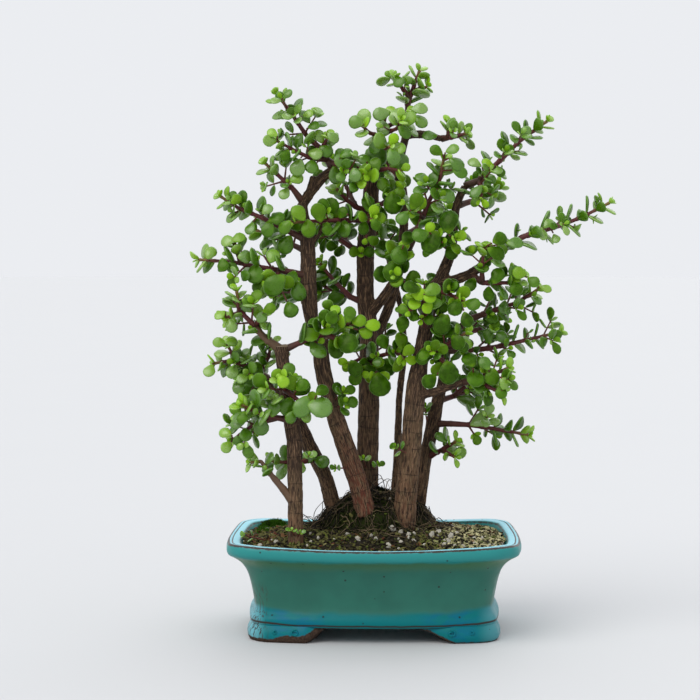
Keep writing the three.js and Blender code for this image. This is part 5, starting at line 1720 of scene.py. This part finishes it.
def wood_beads():
    """Points along every limb with its radius there, for keeping leaves out of the wood."""
    beads = []
    for limbs in TRUNKS.values():
        for limb in limbs:
            route, widths = smooth_route(limb, LIMB_STEP)
            beads += [(*point, width) for point, width in zip(route, widths)]
    return np.array(beads)


def rolled(leaf, angle):
    """A leaf turned about its own length."""
    turn = Matrix.Rotation(angle, 3, leaf.along)
    return leaf._replace(wide=turn @ leaf.wide, upper=turn @ leaf.upper)


def faced_out(leaf, strength):
    """A leaf rolled so that its face turns up and away from the trees, mostly to the front or the back."""
    aside = leaf.foot.x - MOUND.x
    front = -1 if leaf.foot.y < MOUND.y else 1
    outside = Vector((0.5 * aside / (abs(aside) + 20), 0.8 * front, 0.6))
    upper = leaf.upper + outside * strength
    upper = (upper - leaf.along * leaf.along.dot(upper)).normalized()
    return leaf._replace(upper=upper, wide=upper.cross(leaf.along))


def fitted(leaf, kept, canopy, draw):
    """The leaf where it first stays clear of the others. Each try but the first is rolled, and one that
    the model doesn't have is also smaller."""
    for _ in range(LEAF_TRIES):
        if canopy.fits(leaf):
            return leaf
        leaf = rolled(leaf, draw() - 0.5)
        if not kept:
            leaf = leaf._replace(size=leaf.size * 0.88)
    return None


def facing_leaf(stems, x, z, size, youth, draw):
    """A leaf that shows its face to the front, and the short stalk that carries it from the nearest twig.
    The carrier is the nearest of some spots along the stems, past their bare feet."""
    face = Vector((draw() - 0.5, -1.5, 0.1 + 0.9 * draw())).normalized()
    spots = [centre_at(stem.runs, stem.total * step / CARRIER_SPOTS)
             for stem in stems for step in range(FIRST_CARRIER, CARRIER_SPOTS + 1)]
    carrier = min(spots, key=lambda spot: (place((x, spot.y - FACING_GAP, z)) - spot).length_squared)
    middle = place((x, carrier.y - FACING_GAP, z))
    along = middle - carrier
    along = (along - face * along.dot(face)).normalized()
    foot = middle - along * size * LEAF_REACH
    heading = foot - carrier
    reach = heading.length - STALK_GAP
    heading.normalize()
    wide = heading.cross(along).normalized()
    stalk = Stalk(carrier, heading, wide, wide.cross(heading), reach, SIDE_TWIG * 0.8)
    return stalk, Leaf(foot, along, face.cross(along), face, size, youth)


def axes_of(grown):
    """The turn that points a pattern the way a leaf or stalk grows."""
    return Matrix((grown.along, grown.wide, grown.upper)).transposed().to_4x4()


def stamp_stalk(bm, pattern, stalk, draw):
    slim = stalk.half * SHOOT_SHARE
    scale = Matrix.Diagonal((stalk.reach, slim, slim, 1))
    placed = Matrix.Translation(stalk.foot) @ axes_of(stalk) @ scale
    stamp(bm, pattern, placed, (0.85, draw()), TWIG_MATERIAL)


def stamp_leaf(bm, patterns, leaf, draw):
    """A leaf rolled and nodded a little by chance. Its tone holds its youth and how much light it catches."""
    pattern = picked(patterns, draw())
    away = math.hypot(leaf.foot.x - CROWN_MIDDLE[0], leaf.foot.z - CROWN_MIDDLE[1])
    lit = 0.08 + 0.4 * draw() + 0.3 * ease(leaf.upper.z) + 0.35 * ease((away - 60) / 90)
    roll = Matrix.Rotation((draw() - 0.5) * 0.2, 4, "X")
    nod = Matrix.Rotation((draw() - 0.5) * 0.2, 4, "Y")
    placed = Matrix.Translation(leaf.foot) @ axes_of(leaf) @ roll @ nod @ Matrix.Scale(leaf.size, 4)
    stamp(bm, pattern, placed, (leaf.youth + 0.25 * (draw() - 0.5), lit))


def plan_bark_shoots():
    """Short shoots straight out of old bark, each with two crossed pairs of small leaves."""
    stalks, leaves = [], []
    for foot, tip, share in BARK_SHOOTS:
        foot, tip = place(foot), place(tip)
        along = (tip - foot).normalized()
        wide = along.cross(Vector((0, 0, 1))).normalized()
        stalk = Stalk(foot, along, wide, wide.cross(along), (tip - foot).length, MAIN_TWIG * 0.6)
        stalks.append(stalk)
        leaves += [leaf for _, leaf in shoot_leaves(stalk, LEAF_LENGTH * share, 0.5, 0.3)]
    return stalks, leaves


def plan_sprays():
    """Every spray as its name, its stems and an empty list for its leaves."""
    sprays = []
    for index, spray in enumerate(SPRAYS):
        stems = []
        for order, stem in enumerate(spray.stems):
            points = [place(point) for point in stem]
            seed = index * 17 + order * 5 + 3
            if order:
                stems.append(plan_stem(points, SIDE_TWIG, FORK_BARE, spray, seed))
            else:
                stems.append(plan_stem(points, MAIN_TWIG, spray.bare, spray, seed))
        sprays.append((spray.name, stems, []))
    return sprays


def choose_leaves(sprays, draw):
    """Fills in each spray's leaves: the large facing ones first, then those that the model has, and then the
    others where they stay clear."""
    canopy = Canopy(wood_beads())
    for name, stems, chosen in sprays:
        for x, z, size, youth in FACING_LEAVES.get(name, []):
            stalk, leaf = facing_leaf(stems, x, z, size, youth, draw)
            if canopy.fits(leaf):
                stems[0].stalks.append(stalk)
                chosen.append(leaf)
    for shared in (True, False):
        for name, stems, chosen in sprays:
            turn = SLENDER_TURN if name in SLENDER_SPRAYS else SHARED_TURN if shared else FREE_TURN
            for stem in stems:
                for kept, leaf in stem.leaves:
                    if kept != shared or (not kept and draw() > THIN_SPRAYS.get(name, 1)):
                        continue
                    leaf = fitted(faced_out(leaf, turn), kept, canopy, draw)
                    if leaf:
                        chosen.append(leaf)


def make_foliage(leaf_looks, bark_looks):
    """Every spray as one piece, with its twigs, side shoots and leaves, and the small shoots on the bark."""
    materials = [leaf_material(leaf_looks), twig_material(bark_looks)]
    shapes = {slender: leaf_patterns(leaf_looks, slender) for slender in (False, True)}
    stalk_shape = stalk_pattern()
    draw = draws_from(SEEDS["foliage"])
    sprays = plan_sprays()
    choose_leaves(sprays, draw)
    for name, stems, leaves in sprays:
        bm = new_growth()
        for stem in stems:
            stout, woody = WOODY_SPRAYS.get(name, (1, 0)) if stem is stems[0] else (1, 0)
            add_mesh(bm, twig_mesh(stem, stout, woody), TWIG_MATERIAL)
            for stalk in stem.stalks:
                stamp_stalk(bm, stalk_shape, stalk, draw)
        for leaf in leaves:
            stamp_leaf(bm, shapes[name in SLENDER_SPRAYS], leaf, draw)
        finish_piece(f"foliage_{name}", bm, materials, [f"spray_{name}"])
    bm = new_growth()
    stalks, leaves = plan_bark_shoots()
    for stalk in stalks:
        stamp_stalk(bm, stalk_shape, stalk, draw)
    for leaf in leaves:
        stamp_leaf(bm, shapes[False], leaf, draw)
    finish_piece("bark_shoots", bm, materials)


# Stage

def add_light(name, strength, spread, origin, colour):
    """A distant soft light that shines from a point towards the middle of the scene."""
    data = bpy.data.lights.new(name, "SUN")
    data.angle = math.radians(spread)
    data.energy = strength
    data.color = colour
    light = linked(name, data)
    light.location = origin
    light.rotation_mode = "QUATERNION"
    light.rotation_quaternion = (-Vector(origin)).to_track_quat("-Z", "Y")


def make_stage(looks):
    scene = bpy.context.scene
    data = bpy.data.cameras.new("photo_camera")
    data.lens = LENS_MM
    data.sensor_width = 36
    data.clip_start, data.clip_end = 0.05, 60
    camera = linked("photo_camera", data)
    camera.location = TO_FRAME @ (EYE + Vector((0, 0, LEVEL_LINE)))
    camera.rotation_euler = (math.pi / 2 - LOOK_DOWN, 0, LOOK_LEFT)
    scene.camera = camera

    bm = bmesh.new()
    bmesh.ops.create_circle(bm, cap_ends=True, segments=96, radius=FLOOR_RADIUS_METRES)
    mesh = pattern_from(bm, "floor")
    mesh.materials.append(floor_material(looks))
    linked("floor", mesh)

    world = bpy.data.worlds.new("room")
    world.use_nodes = True
    background = world.node_tree.nodes["Background"]
    background.inputs["Color"].default_value = (*srgb(244, 246, 250), 1)
    background.inputs["Strength"].default_value = looks.room_light
    scene.world = world
    add_light("key_light", looks.key_light, 50, (-1.2, -1.3, 2), (1, 0.98, 0.94))
    add_light("back_light", looks.back_light, 60, (0.6, 1.5, 1.6), (0.97, 0.99, 1))
    scene.view_settings.view_transform = "Standard"


# Operators, panel and registration

class FOREST_OT_tray(bpy.types.Operator):
    """Make the glazed tray on its cloud feet"""
    bl_idname = "forest.tray"
    bl_label = "Glazed tray"

    def execute(self, context):
        make_tray(context.scene.forest_tray)
        return {"FINISHED"}


class FOREST_OT_screens(bpy.types.Operator):
    """Make the plastic mesh over the drain holes"""
    bl_idname = "forest.screens"
    bl_label = "Drain screens"

    def execute(self, context):
        make_screens()
        return {"FINISHED"}


class FOREST_OT_soil(bpy.types.Operator):
    """Make the soil with its flakes and white stones"""
    bl_idname = "forest.soil"
    bl_label = "Gritty soil"

    def execute(self, context):
        looks = context.scene.forest_ground
        make_soil(looks)
        make_grit(looks)
        return {"FINISHED"}


class FOREST_OT_moss(bpy.types.Operator):
    """Make the mossy mound and the bright patch in the back corner"""
    bl_idname = "forest.moss"
    bl_label = "Moss"

    def execute(self, context):
        looks = context.scene.forest_ground
        dark = moss_material("dark_moss", looks.moss_colour, srgb(9, 7, 4))
        fresh = moss_material("fresh_moss", looks.fresh_moss, srgb(44, 42, 18))
        make_cushion("moss_cushion", MOUND, dark, "moss_mound")
        make_tufts("moss_tufts", MOUND, looks.tuft_count, SEEDS["mound"], dark, 1.2)
        make_cushion("moss_corner", CORNER_MOSS, fresh, "moss_patch")
        make_tufts("moss_corner_tufts", CORNER_MOSS, CORNER_TUFT_COUNT, SEEDS["corner_moss"], fresh, 0.9, 1.5)
        make_tufts("moss_left_tufts", LEFT_TUFTS, LEFT_TUFT_COUNT, SEEDS["left_tufts"], fresh, 0.6, 1.2)
        return {"FINISHED"}


class FOREST_OT_rootlets(bpy.types.Operator):
    """Make the dry rootlets over the mound"""
    bl_idname = "forest.rootlets"
    bl_label = "Rootlets"

    def execute(self, context):
        make_rootlets(context.scene.forest_ground)
        return {"FINISHED"}


class FOREST_OT_trunks(bpy.types.Operator):
    """Make the seven trunks with cracked bark"""
    bl_idname = "forest.trunks"
    bl_label = "Trunks"

    def execute(self, context):
        looks = context.scene.forest_bark
        material = bark_material(looks)
        for name, limbs in TRUNKS.items():
            make_trunk(name, limbs, material, looks)
        return {"FINISHED"}


class FOREST_OT_foliage(bpy.types.Operator):
    """Make the leafy sprays and the small shoots on the bark"""
    bl_idname = "forest.foliage"
    bl_label = "Leafy sprays"

    def execute(self, context):
        make_foliage(context.scene.forest_leaf, context.scene.forest_bark)
        return {"FINISHED"}


class FOREST_OT_stage(bpy.types.Operator):
    """Make the floor, the lights and the camera"""
    bl_idname = "forest.stage"
    bl_label = "Stage"

    def execute(self, context):
        make_stage(context.scene.forest_stage)
        return {"FINISHED"}


OPERATORS = (
    FOREST_OT_stage, FOREST_OT_tray, FOREST_OT_screens, FOREST_OT_soil, FOREST_OT_moss, FOREST_OT_rootlets,
    FOREST_OT_trunks, FOREST_OT_foliage,
)


class FOREST_PT_panel(bpy.types.Panel):
    """Sizes and colours of the forest, and a button for each group of pieces"""
    bl_idname = "FOREST_PT_panel"
    bl_label = "Dwarf jade forest"
    bl_space_type = "VIEW_3D"
    bl_region_type = "UI"
    bl_category = "Forest"

    def draw(self, context):
        for name, group in LOOKS.items():
            box = self.layout.box()
            for key in group.__annotations__:
                box.prop(getattr(context.scene, name), key)
        for operator in OPERATORS:
            self.layout.operator(operator.bl_idname)


def register():
    for group in LOOKS.values():
        bpy.utils.register_class(group)
    for name, group in LOOKS.items():
        setattr(bpy.types.Scene, name, bpy.props.PointerProperty(type=group))
    for operator in OPERATORS:
        bpy.utils.register_class(operator)
    bpy.utils.register_class(FOREST_PT_panel)


def unregister():
    bpy.utils.unregister_class(FOREST_PT_panel)
    for operator in reversed(OPERATORS):
        bpy.utils.unregister_class(operator)
    for name, group in LOOKS.items():
        delattr(bpy.types.Scene, name)
        bpy.utils.unregister_class(group)


def main():
    register()
    bpy.ops.forest.stage()
    bpy.ops.forest.tray()
    bpy.ops.forest.screens()
    bpy.ops.forest.soil()
    bpy.ops.forest.moss()
    bpy.ops.forest.rootlets()
    bpy.ops.forest.trunks()
    bpy.ops.forest.foliage()


if __name__ == "__main__":
    main()
